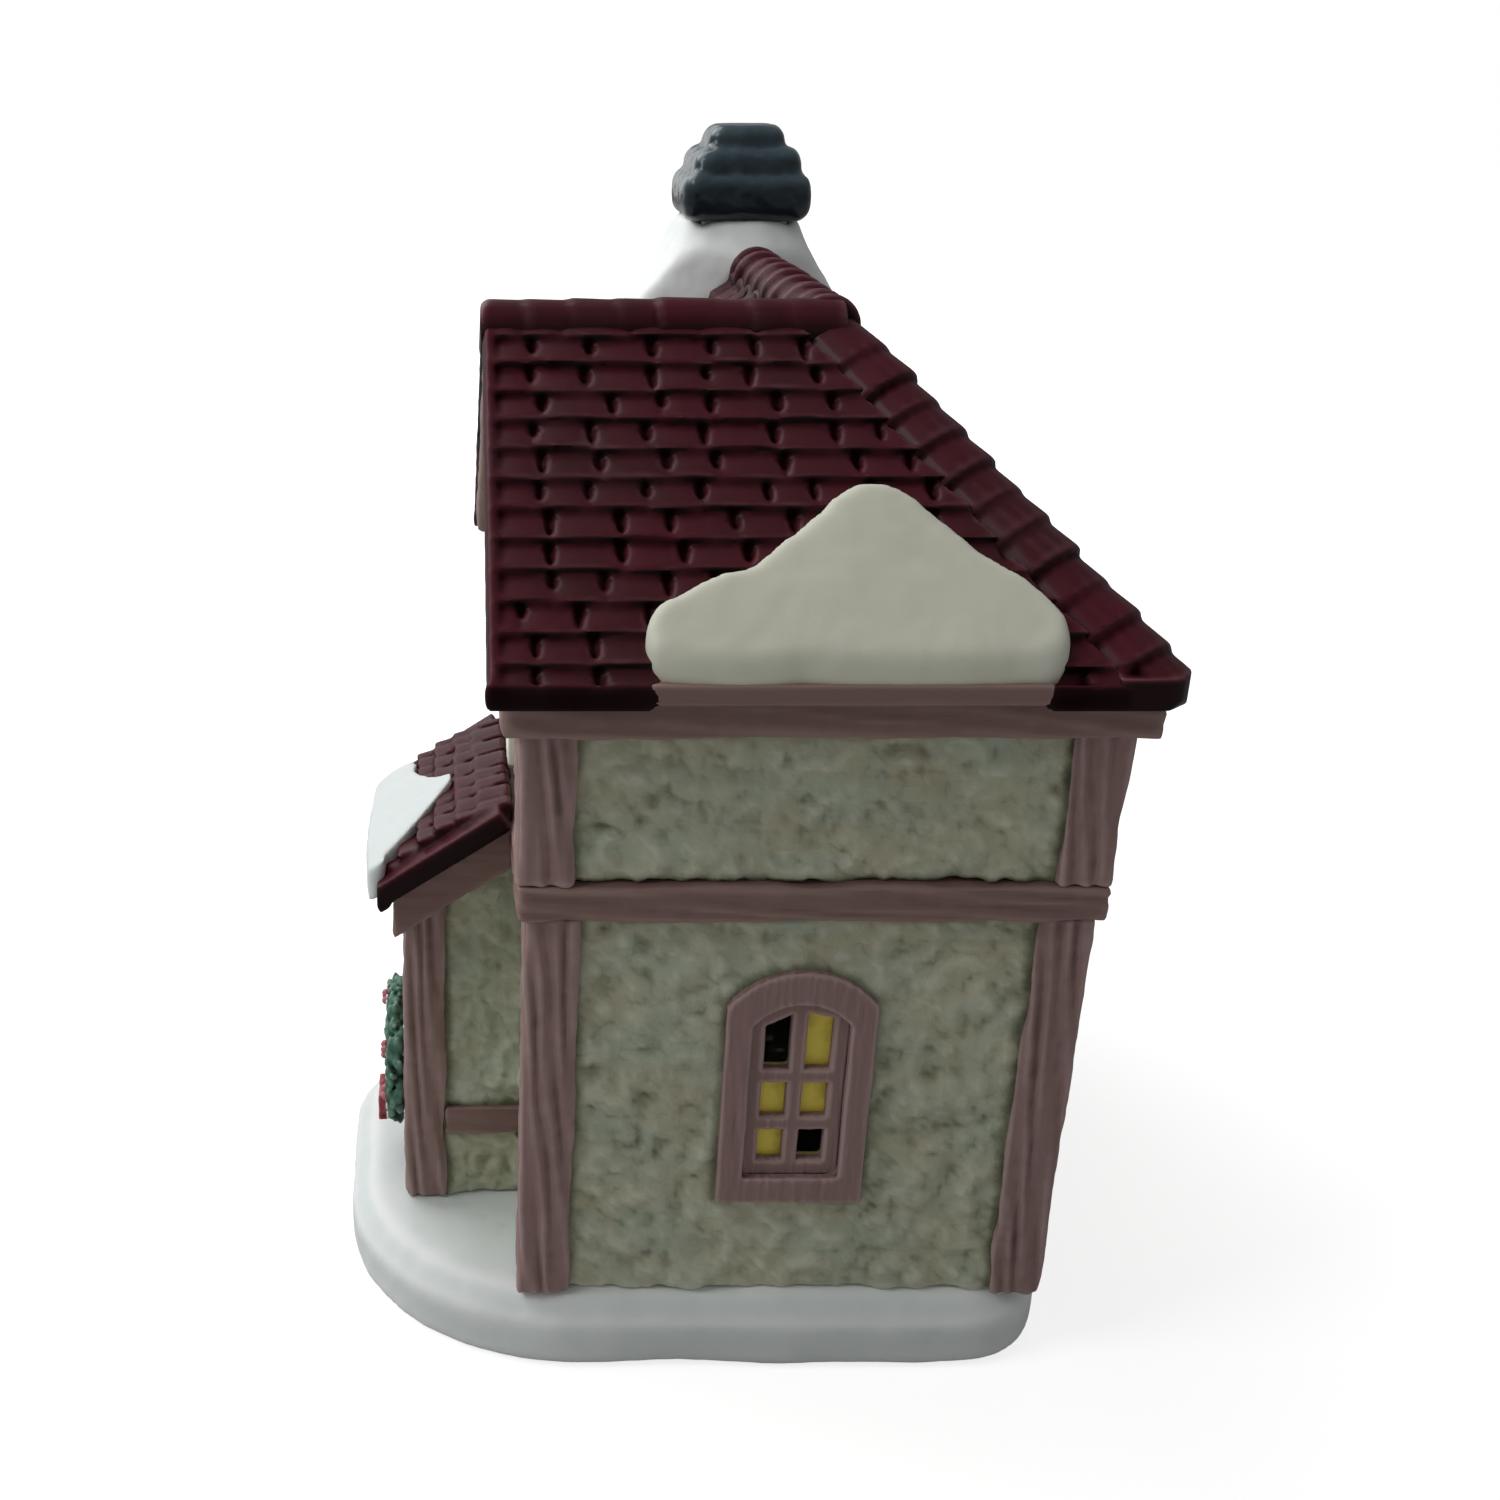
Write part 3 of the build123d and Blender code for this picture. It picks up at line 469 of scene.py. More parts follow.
@dataclass(frozen=True)
class GlossGlaze:
    """Poured gloss glaze over painted clay: pale on upward edges as painted highlight where it also thins, dark in
    hollows and on faces turned from the sky as painted shade.
    """

    name: str
    # Colour of the painted shade in hollows, on faces turned from the sky and along the eave
    deep: str
    body: str
    other: str
    # Colour of the painted highlight on upward edges, where the glaze also thins
    thin_glaze_highlight: str
    roughness: float
    coat: float
    coat_roughness: float
    specular: float
    ripple: float = 0.05
    patch: float = 14.0
    streak: float = 2.4
    hollows: Span = (0.22, 0.50)
    edges: Span = (0.58, 0.92)
    # Height of a face's normal over which its painted shade fades out as it turns up to the sky
    sky: Span = (-0.05, 0.6)
    uneven: float = 0.08

    def material(self) -> bpy.types.Material:
        """Build the material.

        Returns:
            The new material.
        """
        mix = Mixer(self.name)
        cloud = mix.noise(self.patch, 3.0)
        tone = mix.maths("ADD", mix.cavity(), mix.ramp(cloud, 0.3, 0.7, -self.uneven, self.uneven))
        hollow = mix.ramp(tone, *self.hollows)
        # Painted shade on faces turned from the sky and in hollows; painted highlight on upward edges
        lie = mix.add("SeparateXYZ", {0: mix.add("NewGeometry").outputs["Normal"]}).outputs[2]
        open_sky = mix.ramp(lie, *self.sky)
        lit = mix.maths("MULTIPLY", hollow, open_sky)
        rim = mix.maths("MULTIPLY", mix.ramp(tone, *self.edges), open_sky)
        colour = mix.blend(mix.ramp(cloud, 0.35, 0.65), self.body, self.other)
        shaded_and_highlit = mix.blend(rim, mix.blend(lit, self.deep, colour), self.thin_glaze_highlight)
        return mix.finish({"Base Color": shaded_and_highlit, "Normal": mix.bump(mix.noise(self.streak, 2.0), 0.4, self.ripple),
                           "Roughness": self.roughness, "Coat Roughness": self.coat_roughness,
                           "Coat Weight": mix.maths("MULTIPLY", hollow, self.coat),
                           "Specular IOR Level": mix.maths("MULTIPLY", hollow, self.specular)})


@dataclass(frozen=True)
class PlainStuff:
    """Moulded, drawn or blown material of the lamp, with slight unevenness in its surface."""

    name: str
    colour: str
    roughness: float
    metallic: float = 0.0
    transmission: float = 0.0
    mark: float = 1.2

    def material(self) -> bpy.types.Material:
        """Build the material.

        Returns:
            The new material.
        """
        mix = Mixer(self.name)
        gloss = mix.ramp(mix.noise(self.mark, 3.0), 0.0, 1.0, self.roughness * 0.8, self.roughness * 1.25)
        return mix.finish({"Base Color": linear(self.colour), "Roughness": gloss, "Metallic": self.metallic,
                           "Transmission Weight": self.transmission})


@dataclass(frozen=True)
class TrowelledStucco:
    """Matt paint on clay worked with a small trowel: flat overlapping flakes with sharp edges, with painted shade
    in hollows and on low flakes and painted highlight on raised edges.
    """

    name: str
    paint: str
    # Colour of the painted shade in hollows and along seams
    hollow_shade: str
    # Colour of the painted highlight on raised flakes
    high: str
    other: str
    flake: float = 7.0
    swirl: float = 6.0
    grit: float = 0.9
    patch: float = 15.0
    dab: float = 9.0
    relief: float = 0.55
    roughness: float = 0.82
    hollows: Span = (0.05, 0.46)
    edges: Span = (0.54, 0.9)

    def material(self) -> bpy.types.Material:
        """Build the material.

        Returns:
            The new material.
        """
        mix = Mixer(self.name)
        bend = mix.add("TexNoise", {"Vector": mix.place, "Scale": 1 / (self.swirl * MM), "Detail": 2.0}).outputs[1]
        swirl = mix.vectors("SUBTRACT", {0: bend, 1: (0.5, 0.5, 0.5)})
        reach = mix.vectors("SCALE", {0: swirl, "Scale": self.flake * 1.1 * MM})
        worked = mix.vectors("ADD", {0: mix.stretched((0.62, 0.62, 1.0)), 1: reach})
        height = mix.maths("MULTIPLY", mix.noise(self.grit, 4.0), 0.30)
        for size, share in ((self.flake, 0.6), (0.45 * self.flake, 0.35)):
            flakes = mix.add("TexVoronoi", {"Vector": worked, "Scale": 1 / (size * MM)}).outputs["Color"]
            height = mix.maths("MULTIPLY_ADD", flakes, share, height)
        # Painted shade on low flakes and in hollows, painted highlight on raised ones, with random patches
        tone = mix.maths("ADD", mix.cavity(), mix.ramp(height, 0.25, 0.8, -0.10, 0.10))
        tone = mix.maths("ADD", tone, mix.ramp(mix.noise(self.patch, 3.0), 0.3, 0.7, -0.12, 0.12))
        paint = mix.blend(mix.ramp(mix.noise(self.dab, 4.0, worked), 0.38, 0.62), self.paint, self.other)
        hollow_shaded = mix.blend(mix.ramp(tone, *self.hollows), self.hollow_shade, paint)
        edge_highlit = mix.blend(mix.ramp(tone, *self.edges), hollow_shaded, self.high)
        return mix.finish({"Base Color": edge_highlit, "Normal": mix.bump(height, 0.8, self.relief),
                           "Roughness": self.roughness, "Specular IOR Level": 0.3})


class Palette:
    """The finishes of the house and its lamp, each made once."""

    def __init__(self) -> None:
        """Build every finish."""
        # Sprayed and sponged white over clay: chalky, with a little grey-green painted shade in the folds and
        # painted highlight on the rises
        sponged = dict(patch=16.0, grit=0.4, bump=0.05, roughness=0.6, hollows=(0.10, 0.44), edges=(0.56, 0.95))
        self.snow = PaintedBisque("cool_matt_snow_paint_on_bisque", "#dde4e3", "#bdc4c0", "#e9edec",
                                  **sponged).material()
        # A lighter copy of the same white for the collar of the chimney, painted light where it catches the lamps:
        # the brightest of the three
        self.lit_snow = PaintedBisque("lit_matt_snow_paint_on_bisque", "#f1f5f4", "#d3d8d5", "#f6f8f7",
                                        **sponged).material()
        # The same white with a warm wash over it, as on the large drift of the roof: dull and creamy
        self.old_snow = PaintedBisque("warm_matt_snow_paint_on_bisque", "#d2d3c1", "#b6b8a5", "#dcddce",
                                      **sponged).material()
        # Trowelled rough plaster look: pale grey-green with painted shade in its hollows and along its seams, and
        # painted highlight on its raised flakes
        self.stucco = TrowelledStucco("grey_green_paint_on_rough_bisque", "#afb7a2", "#7b7e67", "#c8cbb6",
                                      "#b5b399").material()
        # Mauve-brown paint on scratched grain, with painted shade in each scratch and painted highlight on its
        # edges
        timber = dict(patch=2.2, grit=0.45, bump=0.08, roughness=0.62, hollows=(0.08, 0.42), edges=(0.56, 0.95))
        self.timber_up = PaintedBisque("brown_paint_on_upright_grain", "#8f746f", "#6c534d", "#a88f8c",
                                       stretch=Grain.UP.value, **timber).material()
        # Level timbers take a darker copy of the same brown, as painted shade where they lie under the eaves and
        # the jetty
        self.timber_across_shaded = PaintedBisque("shaded_brown_paint_on_level_grain", "#816660", "#634a45", "#957b74",
                                           stretch=Grain.ACROSS.value, **timber).material()
        # Maroon gloss over dark paint: painted shade nearly black in the joints and under each step, and a rosy
        # grey painted highlight on upward edges, where the glaze also thins
        self.roof = GlossGlaze("maroon_gloss_glaze_on_tiles", "#170405", "#4e1a25", "#3d181d", "#6e444c",
                               roughness=0.45, coat=0.10, coat_roughness=0.2, specular=0.08).material()
        # Slate-blue gloss, with painted shade dark under each step
        self.slate = GlossGlaze("slate_blue_gloss_glaze", "#17242a", "#3c4d57", "#33444c", "#5f717a", roughness=0.3,
                                coat=0.4, coat_roughness=0.12, specular=0.2, ripple=0.015).material()
        # Yellow laid into each pane with a brush, with darker painted shade at its edges
        self.pane = PaintedBisque("yellow_paint_on_bisque", "#f3dd5c", "#8f7a2c", "#f6e88a", patch=5.0,
                                  roughness=0.5).material()
        # Cream on the upper window: pale, with tan painted shade in its corners
        self.cream = PaintedBisque("cream_paint_on_bisque", "#e6e2d2", "#b3ab96", "#f0ede2", patch=8.0).material()
        # Dark green dabbed over the leaves: painted shade nearly black between them, and painted highlight greying
        # their tips
        self.green = PaintedBisque("dark_green_paint_on_twigs", "#3c6b58", "#183126", "#7f9f8f", patch=3.0,
                                   roughness=0.6).material()
        # Dusty red of bow and berries, with painted highlight pinker on its edges
        self.red = PaintedBisque("red_paint_on_bisque", "#9c3a45", "#5c1d26", "#bd727a", patch=4.0,
                                 roughness=0.5).material()
        # The lamp: dull white plastic, bright steel, yellow brass and clear glass
        self.plastic = PlainStuff("white_moulded_polypropylene", "#dedbd0", 0.45).material()
        self.steel = PlainStuff("plain_rolled_spring_steel", "#9d9d9c", 0.32, metallic=1.0).material()
        self.brass = PlainStuff("drawn_brass", "#c8a45c", 0.28, metallic=1.0).material()
        self.glass = PlainStuff("clear_blown_glass", "#f4f2ea", 0.04, transmission=1.0).material()


def dress(piece: Thing, material: bpy.types.Material, slot: str, *replaced: str, body: str = "house") -> None:
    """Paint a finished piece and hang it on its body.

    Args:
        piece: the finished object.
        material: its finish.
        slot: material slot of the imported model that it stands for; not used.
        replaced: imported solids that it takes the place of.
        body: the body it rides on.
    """
    piece.data.materials.clear()
    piece.data.materials.append(material)
    keep_in_box(piece)
    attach(piece, body)
    if replaced:
        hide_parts(*replaced)
    LOG.info("%s: %d faces", piece.name, len(piece.data.polygons))


def join(name: str, *pieces: Thing) -> Thing:
    """Join pieces into one object.

    Args:
        name: name of the joined piece.
        pieces: the objects to join; the first takes up the others.

    Returns:
        The joined object.
    """
    select_only(pieces[0])
    for piece in pieces:
        piece.select_set(True)
    bpy.ops.object.join()
    pieces[0].name = name
    return pieces[0]


def lay_copies(pattern: Thing, places: list[Matrix], name: str) -> Thing:
    """Copy a modelled pattern to each place and join the copies.

    Args:
        pattern: the object modelled once; it is used up.
        places: where each copy goes.
        name: name of the joined piece.

    Returns:
        The joined object.
    """
    copies = []
    for place in places:
        one = bpy.data.objects.new(name, pattern.data.copy())
        one.data.transform(place)
        bpy.context.scene.collection.objects.link(one)
        copies.append(one)
    bpy.data.objects.remove(pattern)
    return join(name, copies.pop(), *copies)


def slab(name: str, size: Triple, middle: Triple) -> Thing:
    """Add a block at its size and place, with its transform taken into the mesh.

    Args:
        name: name of the block.
        size: its three sizes, in millimetres.
        middle: its middle, in millimetres.

    Returns:
        The new object.
    """
    block = added(bpy.ops.mesh.primitive_cube_add, size=MM, location=[m * MM for m in middle], scale=size)
    block.name = name
    bpy.ops.object.transform_apply(location=True, rotation=True, scale=True)
    return block


def cut_away(piece: Thing, *cuts: Plane) -> None:
    """Cut a piece along planes and drop what lies outside.

    Args:
        piece: the object to cut.
        cuts: for each cut a point on its plane, in millimetres, and the direction of the side that goes.
    """
    for point, outward in cuts:
        open_all(piece)
        bpy.ops.mesh.bisect(plane_co=[p * MM for p in point], plane_no=outward, use_fill=True, clear_outer=True)
        close()


def round_corner(x: float, y: float, radius: float) -> list[Plane]:
    """Give the cuts that round an upright corner of the house.

    Args:
        x: where the corner is, in millimetres.
        y: the same, in depth.
        radius: radius of the rounding.

    Returns:
        A point and an outward direction for each cut.
    """
    turns = [(math.cos(turn), math.sin(turn)) for turn in (0.4, 0.785, 1.17)]
    return [((x - radius * (1 - c), y - radius * (1 - s), 0.0), (c, s, 0.0)) for c, s in turns]


@dataclass
class TileField:
    """Overlapping hand-cut tiles on one slope of a roof; sizes in millimetres."""

    name: str
    node: str
    corner: Triple
    inward: Span
    length: float
    run: float
    rise: float
    layer: float = 3.3
    lip: float = 1.5
    courses: int = 13
    width: float = 8.7
    joint: float = 1.9
    butt: float = 0.35
    lap: float = 1.4
    pillow: float = 0.22
    voxel: float = 0.42
    seed: int = 1
    crown: float = 0.0
    cuts: list[Plane] = field(default_factory=list)
    bare: Span = (0.0, 0.0)
    bands: tuple[Span, ...] = ()
    band_width: float = 3.2
    rims: tuple[float, ...] = ()
    drip: float = 0.6
    rim_width: float = 1.3
    margins: Span = (0.0, 0.0)
    # How far up the slope the painted shade along the eave reaches
    eave_shade_width: float = 3.4

    def axes(self) -> Matrix:
        """Give the slope's own axes: along the eave, up the slope, and out of it.

        Returns:
            The matrix from the slope's place to the model's.
        """
        inward = Vector((*self.inward, 0))
        along = inward.cross(Vector((0, 0, 1)))
        up = (inward * self.run + Vector((0, 0, self.rise))).normalized()
        turn = Matrix((along, up, along.cross(up))).transposed().to_4x4()
        return Matrix.Translation(Vector(self.corner) * MM) @ turn

    def tile(self, pitch: float, thick: float, drop: float) -> Thing:
        """Model one tile: pillowed, narrow at its head and round at its tail.

        Args:
            pitch: how much of a tile shows, up the slope.
            thick: height of the tail's top above the deck.
            drop: how much lower the head lies than the tail.

        Returns:
            The tile, its tail's middle at the origin.
        """
        long = pitch * self.lap
        deep = thick * 0.85
        broad = self.width - self.butt
        tile = slab("tile", (broad, long, deep), (0, long / 2, thick - deep / 2))
        pick(tile, lambda p: True)
        bpy.ops.mesh.subdivide(number_cuts=2)
        close()
        move_points(tile, lambda p: abs(p.x) < 0.3 * self.width * MM and p.z > (thick - 0.01) * MM, self.pillow)
        for row in (1, 2, 3):
            back = row / 3 * long
            part = back / pitch
            gap = self.butt + (self.joint - self.butt) * part
            size_points(tile, lambda p: abs(p.y - back * MM) < 0.1 * MM, ((self.width - gap) / broad, 1, 1))
            move_points(tile, lambda p: abs(p.y - back * MM) < 0.1 * MM, -drop * part)
        return tile

    def places(self, slope: float, pitch: float) -> list[Matrix]:
        """Share out the tiles course by course, each cut and set by hand.

        Args:
            slope: length of the slope.
            pitch: how much of a tile shows, up the slope.

        Returns:
            Where each tile goes.
        """
        axes = self.axes()
        dice = random.Random(self.seed)
        limit = self.length - self.margins[1]
        found = []
        for course in range(self.courses):
            edge = self.margins[0]
            broad = self.width * dice.uniform(0.35, 1.0)
            while edge < limit - 0.1:
                if limit - edge - broad < 0.35 * self.width:
                    broad = limit - edge
                middle, wide = edge + broad / 2, broad
                edge += broad
                broad = self.width * dice.uniform(0.72, 1.28)
                if course == 0 and self.bare[0] < middle < self.bare[1]:
                    continue
                tail = course * pitch + dice.uniform(-0.25, 0.25) + (0.3 if course == 0 else 0.0)
                lift = dice.uniform(-0.10, 0.10) + self.crown * math.sin(math.pi * min(1.0, tail / slope))
                place = axes @ Matrix.Translation(Vector((middle, tail, lift)) * MM)
                place = place @ Matrix.Rotation(math.radians(dice.uniform(-1.6, 1.6)), 4, "Z")
                place = place @ Matrix.Diagonal((wide / self.width, 1, 1, 1))
                spot = place.translation / MM
                if all((spot - Vector(p)).dot(Vector(n)) < self.width for p, n in self.cuts):
                    found.append(place)
        return found

    def build(self) -> Thing:
        """Lay the tiles on their bed, cut the field to its slope and soften it.

        Returns:
            The finished field.
        """
        slope = math.hypot(self.run, self.rise)
        pitch = slope / self.courses
        thick = self.layer * self.run / slope
        places = self.places(slope, pitch)
        laid = lay_copies(self.tile(pitch, thick, self.lip * self.run / slope), places, self.name)
        bed = thick * 0.25
        tall = thick * 0.96 + self.drip
        blocks = [slab("bed", (self.length, slope, bed), (self.length / 2, slope / 2, bed / 2))]
        for start, end in self.bands:
            blocks.append(slab("band", (end - start, self.band_width, tall),
                               ((start + end) / 2, 0.9, tall / 2 - self.drip)))
        for middle in self.rims:
            blocks.append(slab("rim", (self.rim_width, slope, thick), (middle, slope / 2, thick / 2 - 0.05)))
        for block in blocks:
            block.data.transform(self.axes())
        piece = join(self.name, laid, *blocks)
        slip_cast(piece, self.voxel, 2, 0.45)
        cut_away(piece, *self.cuts)
        slip_cast(piece, self.voxel, 3, 0.5)
        write_cavity(piece, 7, 0.42)
        # Painted shade along the eave, where the dark glaze also pools
        paint_eave_shade(piece, self.axes(), self.eave_shade_width)
        return piece


@dataclass
class CapRow:
    """Half-round caps along a ridge or hip, each lapping the next; sizes in millimetres."""

    name: str
    node: str
    start: Triple
    end: Triple
    seed: int
    radius: float
    sink: float
    draw: float
    pitch: float = 7.4
    lap: float = 1.3
    bevel: float = 0.9
    voxel: float = 0.38
    rounds: int = 2
    cuts: list[Plane] = field(default_factory=list)
    block: Plane | None = None

    def cap(self, pitch: float) -> Thing:
        """Model one cap, thick at its tail and drawn in at its head.

        Args:
            pitch: how much of a cap shows.

        Returns:
            The cap, along Z, its middle at the origin.
        """
        cap = added(bpy.ops.mesh.primitive_cylinder_add, vertices=20, radius=self.radius * MM,
                    depth=pitch * self.lap * MM)
        size_points(cap, lambda p: p.z > 0, (self.draw, self.draw, 1))
        pick(cap, lambda p: p.z < 0)
        bpy.ops.mesh.bevel(offset=self.bevel * MM, segments=2, affect="EDGES")
        close()
        return cap

    def build(self) -> Thing:
        """Set the caps along their line and soften them.

        Returns:
            The finished row.
        """
        foot = Vector(self.start)
        path = Vector(self.end) - foot
        count = round(path.length / self.pitch)
        pitch = path.length / count
        ahead = path.normalized()
        side = Vector((0, 0, 1)).cross(ahead).normalized()
        turn = Matrix((side, ahead.cross(side), ahead)).transposed().to_4x4()
        dice = random.Random(self.seed)
        places = []
        for index in range(count):
            spot = foot + ahead * ((index + 0.56) * pitch + dice.uniform(-0.3, 0.3))
            spot.z -= self.sink + dice.uniform(-0.15, 0.15)
            wobble = Matrix.Rotation(math.radians(dice.uniform(-3, 3)), 4, "Y")
            grow = dice.uniform(0.96, 1.05)
            places.append(Matrix.Translation(spot * MM) @ turn @ wobble @ Matrix.Diagonal((grow, grow, 1, 1)))
        row = lay_copies(self.cap(pitch), places, self.name)
        if self.block:
            row = join(self.name, row, slab("corner_block", *self.block))
        slip_cast(row, self.voxel, self.rounds, 0.45)
        cut_away(row, ((foot - ahead * 0.05)[:], (-ahead)[:]), *self.cuts)
        slip_cast(row, self.voxel, 3, 0.5)
        write_cavity(row, 9, 0.32)
        return row


@dataclass
class Roof:
    """Tiles, caps, snow and eave board of the main roof; sizes in millimetres."""

    palette: Palette
    eave_right: float = 80.0
    rake_left: float = -80.0
    eave_back: float = 60.9
    rake_front: float = -38.2
    ridge_x: float = 28.8
    ridge_y: float = 16.5
    eave_level: float = 119.0
    rise: float = 45.9
    layer: float = 3.3
    round: float = 4.2
    nose_radius: float = 2.2
    nose_depth: float = 2.3
    hip_gap: float = 6.2
    hip_gap_back: float = 4.6

    def build(self) -> None:
        """Build every piece of the roof and dress it."""
        wing_run = self.eave_right - self.ridge_x
        main_run = self.eave_back - self.ridge_y
        wing_left = self.ridge_x - wing_run
        main_front = self.ridge_y - main_run
        top = self.eave_level + self.rise + self.layer
        # The hip and the valley lie in one upright plane through the ridges' meeting point
        apex = (self.ridge_x, self.ridge_y, 0.0)
        hip = Vector((wing_run, main_run, 0)).normalized()
        hip_out, hip_in = (-hip.y, hip.x, 0.0), (hip.y, -hip.x, 0.0)
        beside_right = (self.ridge_x + self.hip_gap * hip.y, self.ridge_y - self.hip_gap * hip.x, 0.0)
        beside_back = (self.ridge_x - self.hip_gap_back * hip.y, self.ridge_y + self.hip_gap_back * hip.x, 0.0)
        corner = round_corner(self.eave_right, self.eave_back, self.round)
        front = ((0.0, self.rake_front, 0.0), (0.0, -1.0, 0.0))
        left = ((self.rake_left, 0.0, 0.0), (-1.0, 0.0, 0.0))
        eaves = [((self.eave_right, 0, 0), (1, 0, 0)), ((0, self.eave_back, 0), (0, 1, 0))]
        ridge_wing = (self.ridge_x, 0.0, 0.0)
        ridge_main = (0.0, self.ridge_y, 0.0)
        nose = []
        for turn in (0.3, 0.7, 1.1):
            c, s = math.cos(turn), math.sin(turn)
            nose.append(((0.0, self.rake_front + self.nose_radius * (1 - c),
                          top - self.nose_depth + self.nose_radius * s), (0.0, -c, s)))
        fields = (
            TileField("tiles_right_cast", "tiles_right", (self.eave_right, self.rake_front, self.eave_level),
                      (-1, 0), self.eave_back - self.rake_front, wing_run, self.rise, seed=11,
                      cuts=[front, (beside_right, hip_out), (ridge_wing, (-1, 0, 0)), eaves[0], *corner, *nose],
                      margins=(1.4, 0.0), bare=(22.9, 79.2), bands=((0, 23.5), (78.6, 99.1)), rims=(1.1,)),
            TileField("tiles_back_cast", "tiles_back", (self.eave_right, self.eave_back, self.eave_level),
                      (0, -1), self.eave_right - self.rake_left, main_run, self.rise, seed=12, voxel=0.55,
                      cuts=[left, (beside_back, hip_in), (ridge_main, (0, -1, 0)), eaves[1], *corner],
                      bands=((0, 160.0),), rims=(158.9,)),
            TileField("tiles_main_front_cast", "tiles_main_front", (self.rake_left, main_front, self.eave_level),
                      (0, 1), self.ridge_x - self.rake_left, main_run, self.rise, seed=13, voxel=0.55,
                      cuts=[left, (apex, hip_in), (ridge_main, (0, 1, 0)), ((0, main_front, 0), (0, -1, 0))],
                      bands=((0, 108.8),), rims=(1.1,)),
            TileField("tiles_wing_left_cast", "tiles_wing_left", (wing_left, self.ridge_y, self.eave_level),
                      (1, 0), self.ridge_y - self.rake_front, wing_run, self.rise, seed=14, voxel=0.55,
                      cuts=[front, (apex, hip_out), (ridge_wing, (1, 0, 0)), ((wing_left, 0, 0), (-1, 0, 0)),
                            *nose], bands=((0, 54.7),), rims=(53.6,)),
        )
        sill = ((0.0, 0.0, self.eave_level - 0.6), (0.0, 0.0, -1.0))
        rows = (
            CapRow("ridge_caps_wing_cast", "ridge_caps_wing", (self.ridge_x, self.rake_front, top),
                   (self.ridge_x, self.ridge_y + 0.9, top), 21, radius=4.6, sink=4.7, draw=0.94, rounds=7,
                   cuts=nose),
            CapRow("ridge_caps_main_cast", "ridge_caps_main", (self.ridge_x, self.ridge_y, top),
                   (self.rake_left, self.ridge_y, top), 22, radius=5.3, sink=4.9, draw=0.68, pitch=9.0, voxel=0.46),
            CapRow("hip_caps_cast", "hip_caps", (self.eave_right, self.eave_back, self.eave_level + self.layer),
                   (self.ridge_x, self.ridge_y, top), 23, radius=7.35, sink=8.5, draw=0.85, pitch=6.3,
                   cuts=[sill, *eaves, *corner], block=((11.0, 11.0, 4.8), (
                       self.eave_right - 5.3, self.eave_back - 5.3, self.eave_level + 1.8))),
        )
        for part in (*fields, *rows):
            dress(part.build(), self.palette.roof, "roof_glaze", part.node)
        board = cast_copy("eave_board_right", "eave_board_painted")
        slip_cast(board, 0.35, 3)
        write_cavity(board)
        # The eave board takes the darker copy of the brown, as painted shade
        dress(board, self.palette.timber_across_shaded, "timber", "eave_board_right")
        snow = cast_copy("roof_snow", "roof_snow_drift")
        slip_cast(snow, 0.5, 60)
        swell(snow, 0.7)
        press(snow, "CLOUDS", 11.0, 0.6)
        write_cavity(snow, 12, 0.6)
        dress(snow, self.palette.old_snow, "snow", "roof_snow")


@dataclass
class Chimney:
    """Stack, glazed cap and the drift of snow round the stack; sizes in millimetres."""

    palette: Palette
    middle: Span = (-60.0, 15.2)
    tiers: tuple[Triple, ...] = ((25.2, 172.3, 181.6), (21.0, 178.2, 186.2), (15.4, 182.8, 190.2))
    roll: float = 3.3
    collar: float = 11.2
    slant: Span = (0.76, 0.65)
    yaws: tuple[float, ...] = (-0.8, -0.4, 0.0, 0.4, 0.8)

    def build(self) -> None:
        """Build the chimney's pieces and dress them."""
        stack = cast_copy("chimney_stack", "chimney_stack_rough")
        slip_cast(stack, 0.5, 3)
        press(stack, "CLOUDS", 3.0, 0.5)
        write_cavity(stack)
        dress(stack, self.palette.stucco, "stucco", "chimney_stack")
        tiers = []
        for width, low, high in self.tiers:
            tiers.append(slab("tier", (width, width, high - low), (*self.middle, (low + high) / 2)))
            open_all(tiers[-1])
            bpy.ops.mesh.bevel(offset=self.roll * MM, segments=4, affect="EDGES")
            close()
        cap = join("chimney_cap_glazed", *tiers)
        slip_cast(cap, 0.4, 26)
        press(cap, "CLOUDS", 6.0, 0.8)
        write_cavity(cap, 12, 0.6)
        dress(cap, self.palette.slate, "slate_glaze", "chimney_cap")
        snow = cast_copy("chimney_snow", "chimney_snow_drift")
        slip_cast(snow, 0.6, 4)
        for yaw in self.yaws:
            toward = (math.cos(yaw), math.sin(yaw))
            foot = [place + self.collar * way for place, way in zip(self.middle, toward)]
            outward = (self.slant[0] * toward[0], self.slant[0] * toward[1], self.slant[1])
            cut_away(snow, ((*foot, self.tiers[0][1]), outward))
        slip_cast(snow, 0.6, 34)
        swell(snow, 0.5)
        press(snow, "CLOUDS", 8.0, 0.7)
        write_cavity(snow, 12, 0.6)
        # The collar takes the lighter copy of the snow paint, as painted light
        dress(snow, self.palette.lit_snow, "snow", "chimney_snow")


